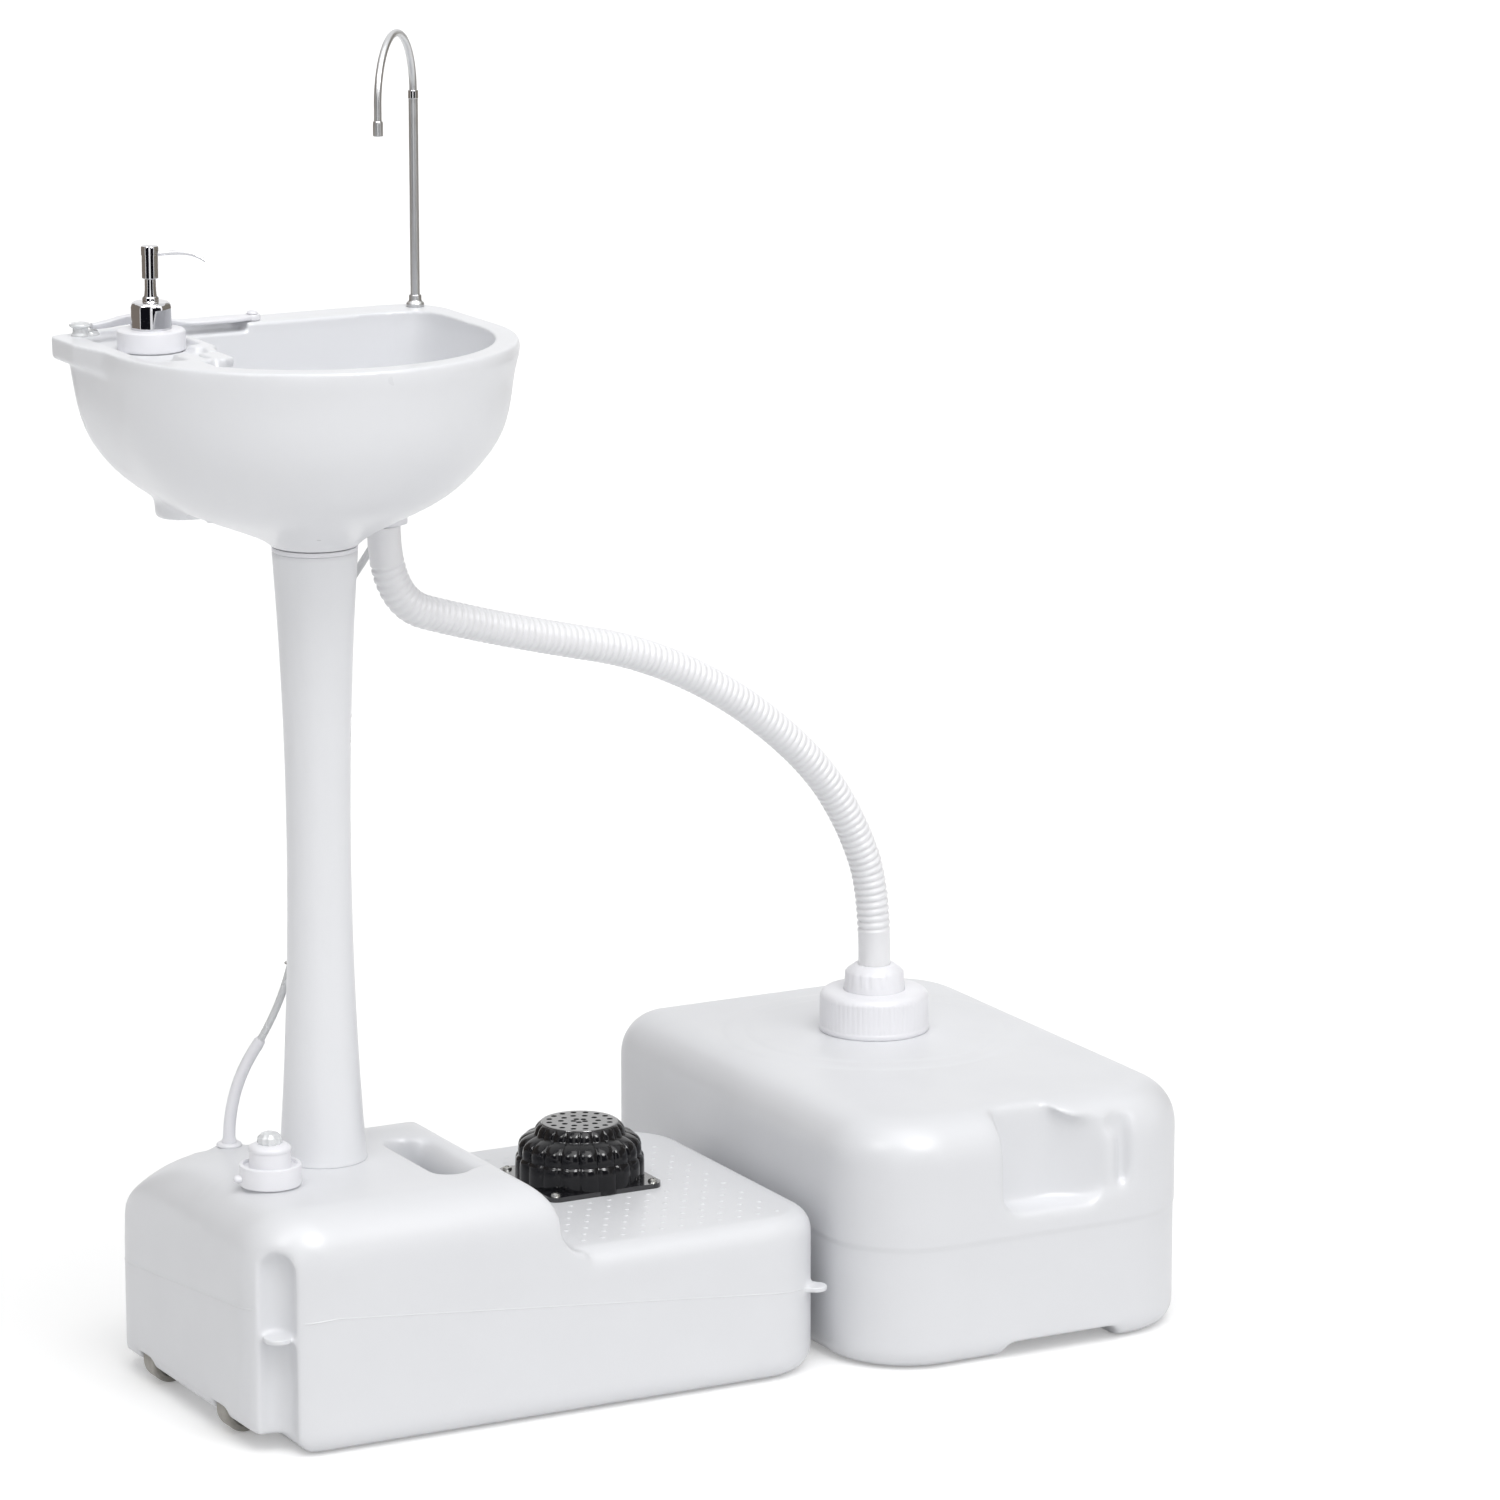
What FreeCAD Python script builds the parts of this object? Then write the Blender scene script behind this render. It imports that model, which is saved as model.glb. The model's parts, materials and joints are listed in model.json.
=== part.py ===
"""Portable camping sink: fresh tank with foot pump, pedestal, basin and separate waste tank.

Millimetres. X runs along the fresh tank towards the waste tank, Y to the back, Z up.
The origin is on the floor under the pedestal's axis.
"""
import FreeCAD
import Part
import math
import os
from FreeCAD import Vector as V

# General
FIT = 0.08          # running fit of a turning or sliding pin, on the radius
GAP = 0.3           # clearance between pieces that move past each other
SEAT = 0.4          # loose clearance of a plug in a socket, on the radius
WALL = 3.0          # blow-moulded tank wall

# Fresh tank
TANK_X0 = -120.0
TANK_X1 = 370.0
TANK_Y0 = -153.0
TANK_Y1 = 157.0
TANK_R = 55.0
DECK = 188.0        # upper deck, carries the pedestal
LOW_DECK = 130.0    # lower deck, carries the foot pump
DECK_ROUND = 42.0
LOW_ROUND = 18.0
FOOT_ROUND = 18.0
STEP_X = 131.0      # where the step between the decks is upright
STEP_TOP_R = 36.0
STEP_FOOT_R = 22.0
FALL_R = 140.0      # the upper deck rounds off to the back and to the back left corner
FALL_BACK = 38.0    # where it starts, from the pedestal's axis
FALL_CORNER = 62.0
FALL_END = math.radians(60)
CUT_CLEAR = 0.4     # keeps a cutting face off a deck's own plane
GROOVE_R = 15.0     # strap groove in the front left corner
GROOVE_TOP = 146.0
LUG_T = 4.0
LUG_LEFT_Z = 91.0
LUG_RIGHT_Z = 67.0
GRIP_X0 = 60.0      # carry handle slot beside the step
GRIP_X1 = 88.0
GRIP_Y0 = -84.0
GRIP_Y1 = 24.0
GRIP_FLOOR = 136.0
GRIP_BAR_Z = 160.0
GRIP_BAR_ROUND = 22.0   # slot side of the carry bar

# Wheels under the left end
WHEEL_R = 17.0
WHEEL_HALF = 10.0
WHEEL_X = -100.0
WHEEL_Z = 18.0
WHEEL_YS = {"front": -61.0, "rear": 79.0}
WHEEL_ROOM = 2.5    # between a wheel and its pocket
END_LIFT = 14.0     # underside of the wheeled end above the floor
END_X1 = -92.0      # where the raised underside starts to slope down
END_ROUND = 11.0    # lower edge of the wheeled end
AXLE_R = 3.0
AXLE_HALF = WHEEL_HALF + WHEEL_ROOM + WALL - 0.8

# Pedestal
PED_FOOT_R = 34.0
PED_WAIST_R = 25.0
PED_WAIST_Z = 480.0
PED_TOP_R = 32.7
PED_TOP = 667.5
PED_SPIGOT_R = 26.0
PED_SPIGOT_TOP = 690.0
RING_T = 3.5
TANK_SPIGOT_R = 28.6
TANK_SPIGOT_H = 34.0

# Basin
RIM = 830.0
BASIN_R = 157.0     # depth of the round front
BASIN_LEFT = 162.0
BASIN_RIGHT = 155.5
BASIN_BACK = 125.0
BASIN_WALL = 4.0
BOWL_R = 138.0
BOWL_BACK = 90.0
BOWL_FLOOR = 703.0
TRAY = 824.0
TRAY_X0 = -148.0
DIVIDER = [(-74.0, 26.0), (-91.0, -42.0)]   # bowl side of the wall between tray and bowl
DIVIDER_T = 8.0
BOWL_CORNER_X = -113.0   # left end of the bowl in front of the tray
LEDGE_X1 = -12.0    # the tray's level runs on along the back to here
LEDGE_Y = (84.0, 112.0)
NUB_X = -88.0       # foot of the soap well
NUB_Y = 48.0
NUB_R = 21.0
NUB_Z0 = 693.0
NUB_Z1 = 745.0
VENT_X = -95.0      # vent of the space between the walls
VENT_Y = -20.0
LIP_X = -170.0
LIP_Y1 = 112.0
LIP_T = 17.0

# Soap dispenser
SOAP_X = -112.0
SOAP_Y = 45.0
BOTTLE_R = 22.6
WELL_R = 23.6
WELL_FLOOR = 736.0
SOAP_RING_R = 26.0
SOAP_COLLAR_R = 16.0   # over the corners
COLLAR_FACETS = 10
STEM_R = 5.0
STEM_TOP = 878.0
HEAD_R = 6.7
HEAD_TOP = 903.0
SPOUT_DIR = V(0.88, -0.475, 0.0)

# Towel arm
ARM_X = -4.0
ARM_Y = 100.0
ARM_TIP_X = -138.0
ARM_TIP_Y = 97.0
ARM_LIFT = 0.6      # underside of the arm above the rim
ARM_Z = RIM + ARM_LIFT
ARM_T = 4.5
ARM_HALF = 7.0
ARM_ARCH = 9.0      # how far the arm bows up behind the soap pump
TOWEL_PIN_R = 3.0

# Faucet
FAUCET_X = 137.0
FAUCET_Y = 105.0
RISER_R = 3.6
RISER_TOP = 997.0
NECK_TUBE_R = 2.9
NECK_BEND_R = 49.5
NECK_LEAD = 1.5     # upright run before the bend
NECK_DROP = 19.0
FAUCET_DIR = V(-0.66, -0.751, 0.0)
LEDGE_T = 12.0

# Drain
DRAIN_X = 68.0
DRAIN_Y = 21.0
TAIL_R = 12.0
TAIL_BORE = 10.0
TAIL_Z0 = 677.0
DRAIN_SEAT = 704.0
DRAIN_BOSS_Z = 688.0
DRAIN_NUT_R = 18.5
HOSE_R = 13.5
HOSE_VALLEY = 11.9
HOSE_BORE = 10.0
RIB_PITCH = 6.0

# Foot pump
PUMP_X = 237.0
PUMP_Y = 28.0
FLANGE_HALF = 50.0
FLANGE_T = 4.0
SCREW_OFF = 43.0
SCREW_R = 1.9
BELLOWS_TOP = 174.0
FLUTES = 20
PAD_R = 31.0
PAD_HOLE_R = 2.1
PAD_HOLES = ((5, 4.8), (10, 14.8), (16, 24.5))   # number and radius of each ring of holes
PAD_T = 4.8
VALVE_R = 23.6
VALVE_Z0 = 100.0
PIPE_Z = 112.0
PIPE_R = 4.5
PIPE_BORE = 3.0

# Supply hose
PORT_X = -50.0
PORT_Y = 66.0
PORT_BOSS_R = 13.0   # level seat of the supply hose on the falling deck
PORT_BOSS_H = 12.0
SUPPLY_R = 3.0
SUPPLY_BORE = 2.0
SLEEVE_R = 4.8

# Filler cap
FILL_X = -68.0
FILL_Y = -51.0
FILL_NECK_R = 18.0
FILL_BORE = 14.0
FILL_NECK_TOP = 200.0
FILL_CAP_R = 24.0

# Waste tank
WASTE_X0 = 382.0
WASTE_X1 = 692.0
WASTE_Y0 = -186.0
WASTE_Y1 = 268.0
WASTE_H = 200.0
WASTE_R = 72.0
WASTE_BACK_R = 40.0     # tighter corner at the back left
WASTE_ROUND = 36.0
ARCH_X0 = 508.0
ARCH_X1 = 612.0
ARCH_H = 12.0
HAND_X0 = 505.0
HAND_X1 = 596.0      # right end of the deep part
HAND_FLAT_X1 = 619.0
ROLL_R = 8.0        # roll along the grip's right side
HAND_Z0 = 118.0
HAND_DEPTH = 28.0
CAP_X = 540.0
CAP_Y = 90.0
CAP_R = 45.5
CAP_Z0 = 202.5
CAP_TOP = 236.0
NECK_OUT = 41.0
NECK_BORE = 35.0
NECK_TOP = 222.0
COLLAR_R = 25.0
COLLAR_TOP = 257.0
CAP_FLUTES = 30

os.makedirs("parts", exist_ok=True)
Z = V(0, 0, 1)
X = V(1, 0, 0)
Y = V(0, 1, 0)


def put(name, shape):
    """Writes one node and prints its volume."""
    shape.exportStep("parts/%s.step" % name)
    print("%-18s %10.0f mm3  solids %d  %s" % (name, shape.Volume, len(shape.Solids), shape.isValid()))


def cyl(x, y, z0, z1, r):
    return Part.makeCylinder(r, z1 - z0, V(x, y, z0))


def ring(x, y, z0, z1, r_out, r_in):
    return cyl(x, y, z0, z1, r_out).cut(cyl(x, y, z0 - 1, z1 + 1, r_in))


def box(x0, x1, y0, y1, z0, z1):
    return Part.makeBox(x1 - x0, y1 - y0, z1 - z0, V(x0, y0, z0))


def rounded_rect(x0, x1, y0, y1, r, z):
    """Face of a rectangle with round corners: one radius, or four from the front right one anticlockwise."""
    edges = []
    points = []
    corners = ((x1, y0, 1, -1), (x1, y1, 1, 1), (x0, y1, -1, 1), (x0, y0, -1, -1))
    for r, (x, y, sx, sy) in zip(r if isinstance(r, tuple) else (r,) * 4, corners):
        k = r * math.sqrt(0.5)
        cx = x - sx * r
        cy = y - sy * r
        side = V(cx + sx * r, cy, z)
        face = V(cx, cy + sy * r, z)
        mid = V(cx + sx * k, cy + sy * k, z)
        first, last = (face, side) if sx * sy < 0 else (side, face)
        points.append((first, mid, last))
    for i, (first, mid, last) in enumerate(points):
        edges.append(Part.Arc(first, mid, last).toShape())
        edges.append(Part.LineSegment(last, points[(i + 1) % 4][0]).toShape())
    return Part.Face(Part.Wire(edges))


def prism(x0, x1, y0, y1, r, z0, z1):
    return rounded_rect(x0, x1, y0, y1, r, z0).extrude(V(0, 0, z1 - z0))


def rounded_block(x0, x1, y0, y1, z0, z1, r_plan, r_top, r_foot):
    """Block with round upright edges and rounded top and foot edges."""
    solid = prism(x0, x1, y0, y1, r_plan, z0, z1)
    top = [e for e in solid.Edges if e.BoundBox.ZMin > z1 - 0.01]
    solid = solid.makeFillet(r_top, top)
    foot = [e for e in solid.Edges if e.BoundBox.ZMax < z0 + 0.01]
    return solid.makeFillet(r_foot, foot)


def revolve(points, x=0.0, y=0.0):
    """Solid of revolution about an upright axis from (radius, height) points."""
    wire = Part.makePolygon([V(r, 0, z) for r, z in points] + [V(points[0][0], 0, points[0][1])])
    solid = Part.Face(wire).revolve(V(0, 0, 0), Z, 360)
    solid.translate(V(x, y, 0))
    return solid


def spline(points):
    """Closed smooth wire through points."""
    curve = Part.BSplineCurve()
    curve.interpolate(points, PeriodicFlag=True)
    return Part.Wire([curve.toShape()])


def corner_radii(points):
    """Bend radius at each inner point of a route, from the shorter run beside it."""
    radii = []
    for a, b, c in zip(points, points[1:], points[2:]):
        turn = (b - a).getAngle(c - b)
        short = min((b - a).Length, (c - b).Length)
        radii.append(0.45 * short / math.tan(turn / 2))
    return radii


def route(points, radii):
    """Edges of straight runs joined by tangent arcs, and samples of the arcs."""
    edges = []
    start = points[0]
    for i, r in enumerate(radii):
        a, b, c = points[i], points[i + 1], points[i + 2]
        u = (a - b).normalize()
        w = (c - b).normalize()
        half = (b - a).getAngle(c - b) / 2
        back = r * math.tan(half)
        first = b + u * back
        last = b + w * back
        bis = (u + w).normalize()
        mid = b + bis * (r / math.cos(half) - r)
        edges.append(Part.LineSegment(start, first).toShape())
        edges.append(Part.Arc(first, mid, last).toShape())
        start = last
    edges.append(Part.LineSegment(start, points[-1]).toShape())
    return edges


def sweep(edges, r):
    """Round bar along a route."""
    wire = Part.Wire(edges)
    first = edges[0]
    start = first.valueAt(first.FirstParameter)
    tangent = first.tangentAt(first.FirstParameter)
    shell = Part.BRepOffsetAPI.MakePipeShell(wire)
    shell.add(Part.Wire([Part.Circle(start, tangent, r).toShape()]))
    shell.build()
    shell.makeSolid()
    return Part.Solid(shell.shape()) if shell.shape().ShapeType != "Solid" else shell.shape()


def tube(name, points, r_out, r_in, radii=None):
    """Hose or pipe along a route; prints its length, least bend radius and volume ratio."""
    radii = radii or corner_radii(points)
    edges = route(points, radii)
    solid = sweep(edges, r_out).cut(sweep(edges, r_in))
    length = sum(e.Length for e in edges)
    ratio = solid.Volume / (math.pi * (r_out ** 2 - r_in ** 2) * length)
    print("%s length %.0f mm, radii %s, volume ratio %.4f" % (
        name, length, " ".join("%.0f" % r for r in radii), ratio))
    return solid


def helix(x, y, z0, z1, r, wire_r, turns):
    """Compression spring of six-sided wire."""
    path = Part.makeHelix((z1 - z0 - 2 * wire_r) / turns, z1 - z0 - 2 * wire_r, r)
    path.translate(V(x, y, z0 + wire_r))
    edge = path.Edges[0]
    start = edge.valueAt(edge.FirstParameter)
    tangent = edge.tangentAt(edge.FirstParameter)
    shell = Part.BRepOffsetAPI.MakePipeShell(Part.Wire(path.Edges))
    shell.setFrenetMode(True)
    corners = [placed(Part.Vertex(wire_r * math.cos(i * math.pi / 3), wire_r * math.sin(i * math.pi / 3), 0),
                      start, X, tangent).Point for i in range(7)]
    shell.add(Part.makePolygon(corners))
    shell.build()
    shell.makeSolid()
    return Part.Solid(shell.shape()) if shell.shape().ShapeType != "Solid" else shell.shape()


def placed(shape, origin, x_axis, z_axis):
    """Moves a shape from the XYZ frame into a local frame."""
    y_axis = z_axis.cross(x_axis)
    turn = FreeCAD.Rotation(x_axis, y_axis, z_axis, "ZXY")
    out = shape.copy()
    out.Placement = FreeCAD.Placement(origin, turn)
    return out


# Fresh tank: an outer form, and the same form drawn in by the wall for the inside
K = math.sqrt(0.5)
corner_left = V(TANK_X0 + TANK_R - TANK_R * K, TANK_Y0 + TANK_R - TANK_R * K, 0)
corner_right = V(TANK_X1 - TANK_R + TANK_R * K, TANK_Y0 + TANK_R - TANK_R * K, 0)


def tank_form(t):
    """Tank body drawn in by t: low block, and high block kept left of the step."""
    low = rounded_block(TANK_X0 + t, TANK_X1 - t, TANK_Y0 + t, TANK_Y1 - t, t, LOW_DECK - t,
                        TANK_R - t, LOW_ROUND - t, FOOT_ROUND - t)
    high = rounded_block(TANK_X0 + t, TANK_X1 - t, TANK_Y0 + t, TANK_Y1 - t, t, DECK - t,
                         TANK_R - t, DECK_ROUND - t, FOOT_ROUND - t)
    xs = STEP_X - t
    rc = STEP_TOP_R - t
    rf = STEP_FOOT_R + t
    dip = 1.0
    top = DECK - t + CUT_CLEAR
    foot = LOW_DECK - t - dip
    k = math.sqrt(0.5)
    y = TANK_Y0 - 40
    left = TANK_X0 - 60
    p = [V(left, y, -20), V(left, y, DECK + 40), V(xs - rc, y, DECK + 40), V(xs - rc, y, top),
         V(xs, y, top - rc), V(xs, y, foot + rf), V(xs + rf, y, foot), V(xs + rf, y, -20)]
    round_top = Part.Arc(p[3], V(xs - rc + rc * k, y, top - rc + rc * k), p[4]).toShape()
    round_foot = Part.Arc(p[5], V(xs + rf - rf * k, y, foot + rf - rf * k), p[6]).toShape()

    def line(a, b):
        return Part.LineSegment(p[a], p[b]).toShape()

    edges = [line(0, 1), line(1, 2), line(2, 3), round_top, line(4, 5), round_foot, line(6, 7), line(7, 0)]
    keep = Part.Face(Part.Wire(edges)).extrude(V(0, TANK_Y1 - TANK_Y0 + 80, 0))
    corner = fall_off(FALL_CORNER, t)
    corner.rotate(V(0, 0, 0), Z, 45)
    high = high.common(keep).common(fall_off(FALL_BACK, t)).common(corner)
    return low.fuse(high).cut(end_lift(t))


def fall_off(start, t):
    """Room under an upper deck that rounds off towards the back from a start line."""
    r = FALL_R - t
    middle = DECK + CUT_CLEAR - FALL_R
    far = 500.0

    def spot(angle):
        return V(-far, start + r * math.sin(angle), middle + r * math.cos(angle))

    last = spot(FALL_END)
    corners = [last, V(-far, last.y, -far), V(-far, -far, -far), V(-far, -far, middle + r), spot(0.0)]
    edges = [Part.LineSegment(a, b).toShape() for a, b in zip(corners, corners[1:])]
    edges.append(Part.Arc(spot(0.0), spot(FALL_END / 2), last).toShape())
    return Part.Face(Part.Wire(edges)).extrude(V(2 * far, 0, 0))


def end_lift(t):
    """What the raised underside takes off the wheeled end."""
    floor = END_LIFT + t
    left = TANK_X0 + t
    side = [(left - 20, -20), (left - 20, floor + END_ROUND + 20), (left, floor + END_ROUND),
            (left + 0.3 * END_ROUND, floor + 0.3 * END_ROUND), (left + END_ROUND, floor), (END_X1, floor),
            (END_X1 + END_LIFT + 20, -20)]
    wire = Part.makePolygon([V(x, TANK_Y0 - 10, z) for x, z in side + side[:1]])
    return Part.Face(wire).extrude(V(0, TANK_Y1 - TANK_Y0 + 20, 0))


def groove(t):
    """Half-round strap groove with a round top in the front left corner, grown by t."""
    r = GROOVE_R + t
    stem = cyl(corner_left.x, corner_left.y, -5, GROOVE_TOP, r)
    return stem.fuse(Part.makeSphere(r, V(corner_left.x, corner_left.y, GROOVE_TOP)))


def wheel_pocket(y, t):
    """Round-topped pocket over a wheel, open below."""
    half = WHEEL_HALF + WHEEL_ROOM + t
    r = WHEEL_R + WHEEL_ROOM + t
    over = Part.makeCylinder(r, 2 * half, V(WHEEL_X, y - half, WHEEL_Z), Y)
    return over.fuse(box(WHEEL_X - r, WHEEL_X + r, y - half, y + half, -5, WHEEL_Z))


def hand_slot(t):
    """Finger slot behind the carry bar: well from the deck, and the way out under the bar."""
    well = prism(GRIP_X0 - t, GRIP_X1 + t, GRIP_Y0 - t, GRIP_Y1 + t, 13 + t, GRIP_FLOOR - t, DECK + 5)
    way = box((GRIP_X0 + GRIP_X1) / 2, STEP_X + 40, GRIP_Y0 + 14 - t, GRIP_Y1 - 14 + t,
              GRIP_FLOOR + 2 - t, GRIP_BAR_Z + t)
    return well.fuse(way)


def bar_round(t):
    """What the round slot side takes off the carry bar, grown by t."""
    r = GRIP_BAR_ROUND
    x = GRIP_X1 + r
    z = DECK - r
    edge = box(GRIP_X1 - 1, x, GRIP_Y0 + 8 - t, GRIP_Y1 - 8 + t, z, DECK + 5)
    return edge.cut(Part.makeCylinder(r - t, GRIP_Y1 - GRIP_Y0 + 20, V(x, GRIP_Y0 - 10, z), Y))


def corner_lug(corner, outward, r0, r1, half, z):
    """Flat ear at a tank corner, from r0 to r1 along the outward direction."""
    plate = box(-half, half, r0, r1 - half, z, z + LUG_T)
    end = Part.makeCylinder(half, LUG_T, V(0, r1 - half, z))
    return placed(plate.fuse(end), corner, outward.cross(Z), Z)


outer = tank_form(0.0)
inner = tank_form(WALL)
recesses = [groove(0.0), hand_slot(0.0), bar_round(0.0)] + [wheel_pocket(y, 0.0) for y in WHEEL_YS.values()]
grown = [groove(WALL), hand_slot(WALL), bar_round(WALL)] + [wheel_pocket(y, WALL) for y in WHEEL_YS.values()]
tank = outer.cut(recesses).cut(inner.cut(grown))
screw_spots = [(PUMP_X + sx * SCREW_OFF, PUMP_Y + sy * SCREW_OFF) for sx in (-1, 1) for sy in (-1, 1)]
tank = tank.fuse([
    cyl(FILL_X, FILL_Y, DECK - WALL, FILL_NECK_TOP, FILL_NECK_R),
    cyl(0, 0, DECK - WALL, DECK + TANK_SPIGOT_H, TANK_SPIGOT_R),
    cyl(PORT_X, PORT_Y, DECK - PORT_BOSS_H, DECK, PORT_BOSS_R),
    corner_lug(corner_left, V(-K, -K, 0), -GROOVE_R - 1.0, 7.0, 11.0, LUG_LEFT_Z),
    corner_lug(corner_right, V(K, -K, 0), -2.5, 15.0, 9.0, LUG_RIGHT_Z)]
    + [cyl(x, y, LOW_DECK - 12, LOW_DECK - WALL + 0.5, 5.0) for x, y in screw_spots])
tank = tank.cut([
    cyl(FILL_X, FILL_Y, DECK - 20, FILL_NECK_TOP + 1, FILL_BORE),
    cyl(0, 0, DECK - 10, DECK + TANK_SPIGOT_H - WALL, TANK_SPIGOT_R - WALL),
    cyl(PORT_X, PORT_Y, DECK - PORT_BOSS_H - 1, DECK + 10, 6.2),
    cyl(PUMP_X, PUMP_Y, LOW_DECK - 10, LOW_DECK + 10, VALVE_R + SEAT)]
    + [cyl(x, y, LOW_DECK - 20, LOW_DECK + 10, SCREW_R + 0.2) for x, y in screw_spots]
    + [Part.makeCylinder(AXLE_R + 0.05, 2 * (AXLE_HALF + 0.2), V(WHEEL_X, y - AXLE_HALF - 0.2, WHEEL_Z), Y)
       for y in WHEEL_YS.values()])
put("fresh_tank", tank)

for name, y in WHEEL_YS.items():
    axle = Part.makeCylinder(AXLE_R, 2 * AXLE_HALF, V(WHEEL_X, y - AXLE_HALF, WHEEL_Z), Y)
    put("axle_" + name, axle)
    wheel = Part.makeCylinder(WHEEL_R, 2 * WHEEL_HALF, V(WHEEL_X, y - WHEEL_HALF, WHEEL_Z), Y)
    rims = [e for e in wheel.Edges if abs(e.Length - 2 * math.pi * WHEEL_R) < 0.1]
    wheel = wheel.makeFillet(3.0, rims)
    for side in (-1, 1):
        y0 = y + side * WHEEL_HALF
        dish = Part.makeCylinder(WHEEL_R - 5, 3.0, V(WHEEL_X, y0 - 3.0 if side > 0 else y0, WHEEL_Z), Y)
        hub = Part.makeCylinder(7.0, 3.0, V(WHEEL_X, y0 - 3.0 if side > 0 else y0, WHEEL_Z), Y)
        wheel = wheel.cut(dish.cut(hub))
    bore = Part.makeCylinder(AXLE_R + FIT, 4 * WHEEL_HALF, V(WHEEL_X, y - 2 * WHEEL_HALF, WHEEL_Z), Y)
    put("wheel_" + name, wheel.cut(bore))

# Pedestal with its ring


def waist_arc(t):
    return Part.Arc(V(PED_FOOT_R - t, 0, DECK), V(PED_WAIST_R - t, 0, PED_WAIST_Z),
                    V(PED_TOP_R - t, 0, PED_TOP - 4)).toShape()


side_out = waist_arc(0.0)
side_in = waist_arc(WALL)
shoulder = [V(PED_TOP_R, 0, PED_TOP - 4), V(PED_TOP_R, 0, PED_TOP), V(PED_SPIGOT_R, 0, PED_TOP),
            V(PED_SPIGOT_R, 0, PED_SPIGOT_TOP), V(PED_SPIGOT_R - WALL, 0, PED_SPIGOT_TOP),
            V(PED_SPIGOT_R - WALL, 0, PED_TOP - 4), V(PED_TOP_R - WALL, 0, PED_TOP - 4)]
foot_line = Part.LineSegment(V(PED_FOOT_R - WALL, 0, DECK), V(PED_FOOT_R, 0, DECK)).toShape()
profile = [side_out] + Part.makePolygon(shoulder).Edges + [side_in, foot_line]
pedestal = Part.Face(Part.Wire(Part.__sortEdges__(profile))).revolve(V(0, 0, 0), Z, 360)
put("pedestal", pedestal)
put("pedestal_ring", ring(0, 0, PED_TOP, PED_TOP + RING_T, PED_TOP_R + 0.6, PED_SPIGOT_R + SEAT))


def plate(edge, z0, z1):
    """Upright plate on a plan outline."""
    return Part.Face(Part.makePolygon([V(x, y, z0) for x, y in edge + edge[:1]])).extrude(V(0, 0, z1 - z0))


# Basin: D-shaped sections, straight at the back and round at the front
BASIN_FOOT = PED_TOP + RING_T
OUTER_LEVELS = [(RIM, 1.0, 0.0), (812.0, 0.993, 0.0), (788.0, 0.97, -0.5), (760.0, 0.927, -1.0),
                (735.0, 0.83, -3.0), (718.0, 0.73, -5.0), (704.0, 0.60, -7.0), (693.0, 0.45, -5.5),
                (684.0, 0.33, -2.5), (677.0, 0.25, -0.5), (BASIN_FOOT, 0.21, 0.0)]
BOWL_LEVELS = [(RIM + 2, 1.0, 0.0), (812.0, 0.99, 0.0), (788.0, 0.965, 0.0), (760.0, 0.915, 0.0),
               (738.0, 0.83, 0.0), (722.0, 0.73, 0.0), (710.0, 0.60, 0.0), (BOWL_FLOOR, 0.45, 0.0)]
SECTION_POINTS = 40
ROUND_FROM = 725.0   # below this the sections turn round towards the neck
BACK_SHARP = 8.0     # how boxy the back corners are


def d_radius(angle, sides, front, back):
    """Distance to a D-shaped outline in a direction: oval in front, boxy curve behind."""
    c = math.cos(angle)
    s = math.sin(angle)
    side = sides[0] if c < 0 else sides[1]
    depth, sharp = (front, 2.0) if s < 0 else (back, BACK_SHARP)
    return ((abs(c) / side) ** sharp + (abs(s) / depth) ** sharp) ** (-1.0 / sharp)


def d_section(z, sides, front, back, scale, shift, inset, to_neck):
    """Closed section of the basin; towards the neck it turns into a circle."""
    points = []
    blend = max(0.0, min(1.0, (ROUND_FROM - z) / (ROUND_FROM - BASIN_FOOT))) if to_neck else 0.0
    for i in range(SECTION_POINTS):
        a = 2 * math.pi * (i + 0.5) / SECTION_POINTS
        r = scale * (d_radius(a, sides, front, back) * (1 - blend) + front * blend) - inset
        points.append(V(shift + r * math.cos(a), r * math.sin(a), z))
    return spline(points)


def outer_loft(levels, inset, to_neck):
    sides = (BASIN_LEFT, BASIN_RIGHT)
    return Part.makeLoft([d_section(z, sides, BASIN_R, BASIN_BACK, k, dx, inset, to_neck)
                          for z, k, dx in levels], True, False)


def bowl_loft(t):
    """Bowl grown by t, kept right of the divider and, in front of the tray, right of its corner."""
    loft = Part.makeLoft([d_section(z, (BOWL_R, BOWL_R), BOWL_R, BOWL_BACK, k, dx, -t, False)
                          for z, k, dx in BOWL_LEVELS], True, False)
    (x0, y0), (x1, y1) = DIVIDER
    front = y1 - DIVIDER_T + t
    keep = [(300, -300), (300, 300), (x0 - t, 300), (x0 - t, y0), (x1 - t, front), (BOWL_CORNER_X - t, front),
            (BOWL_CORNER_X - t, -300)]
    return loft.common(plate(keep, 600, 900))


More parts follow.
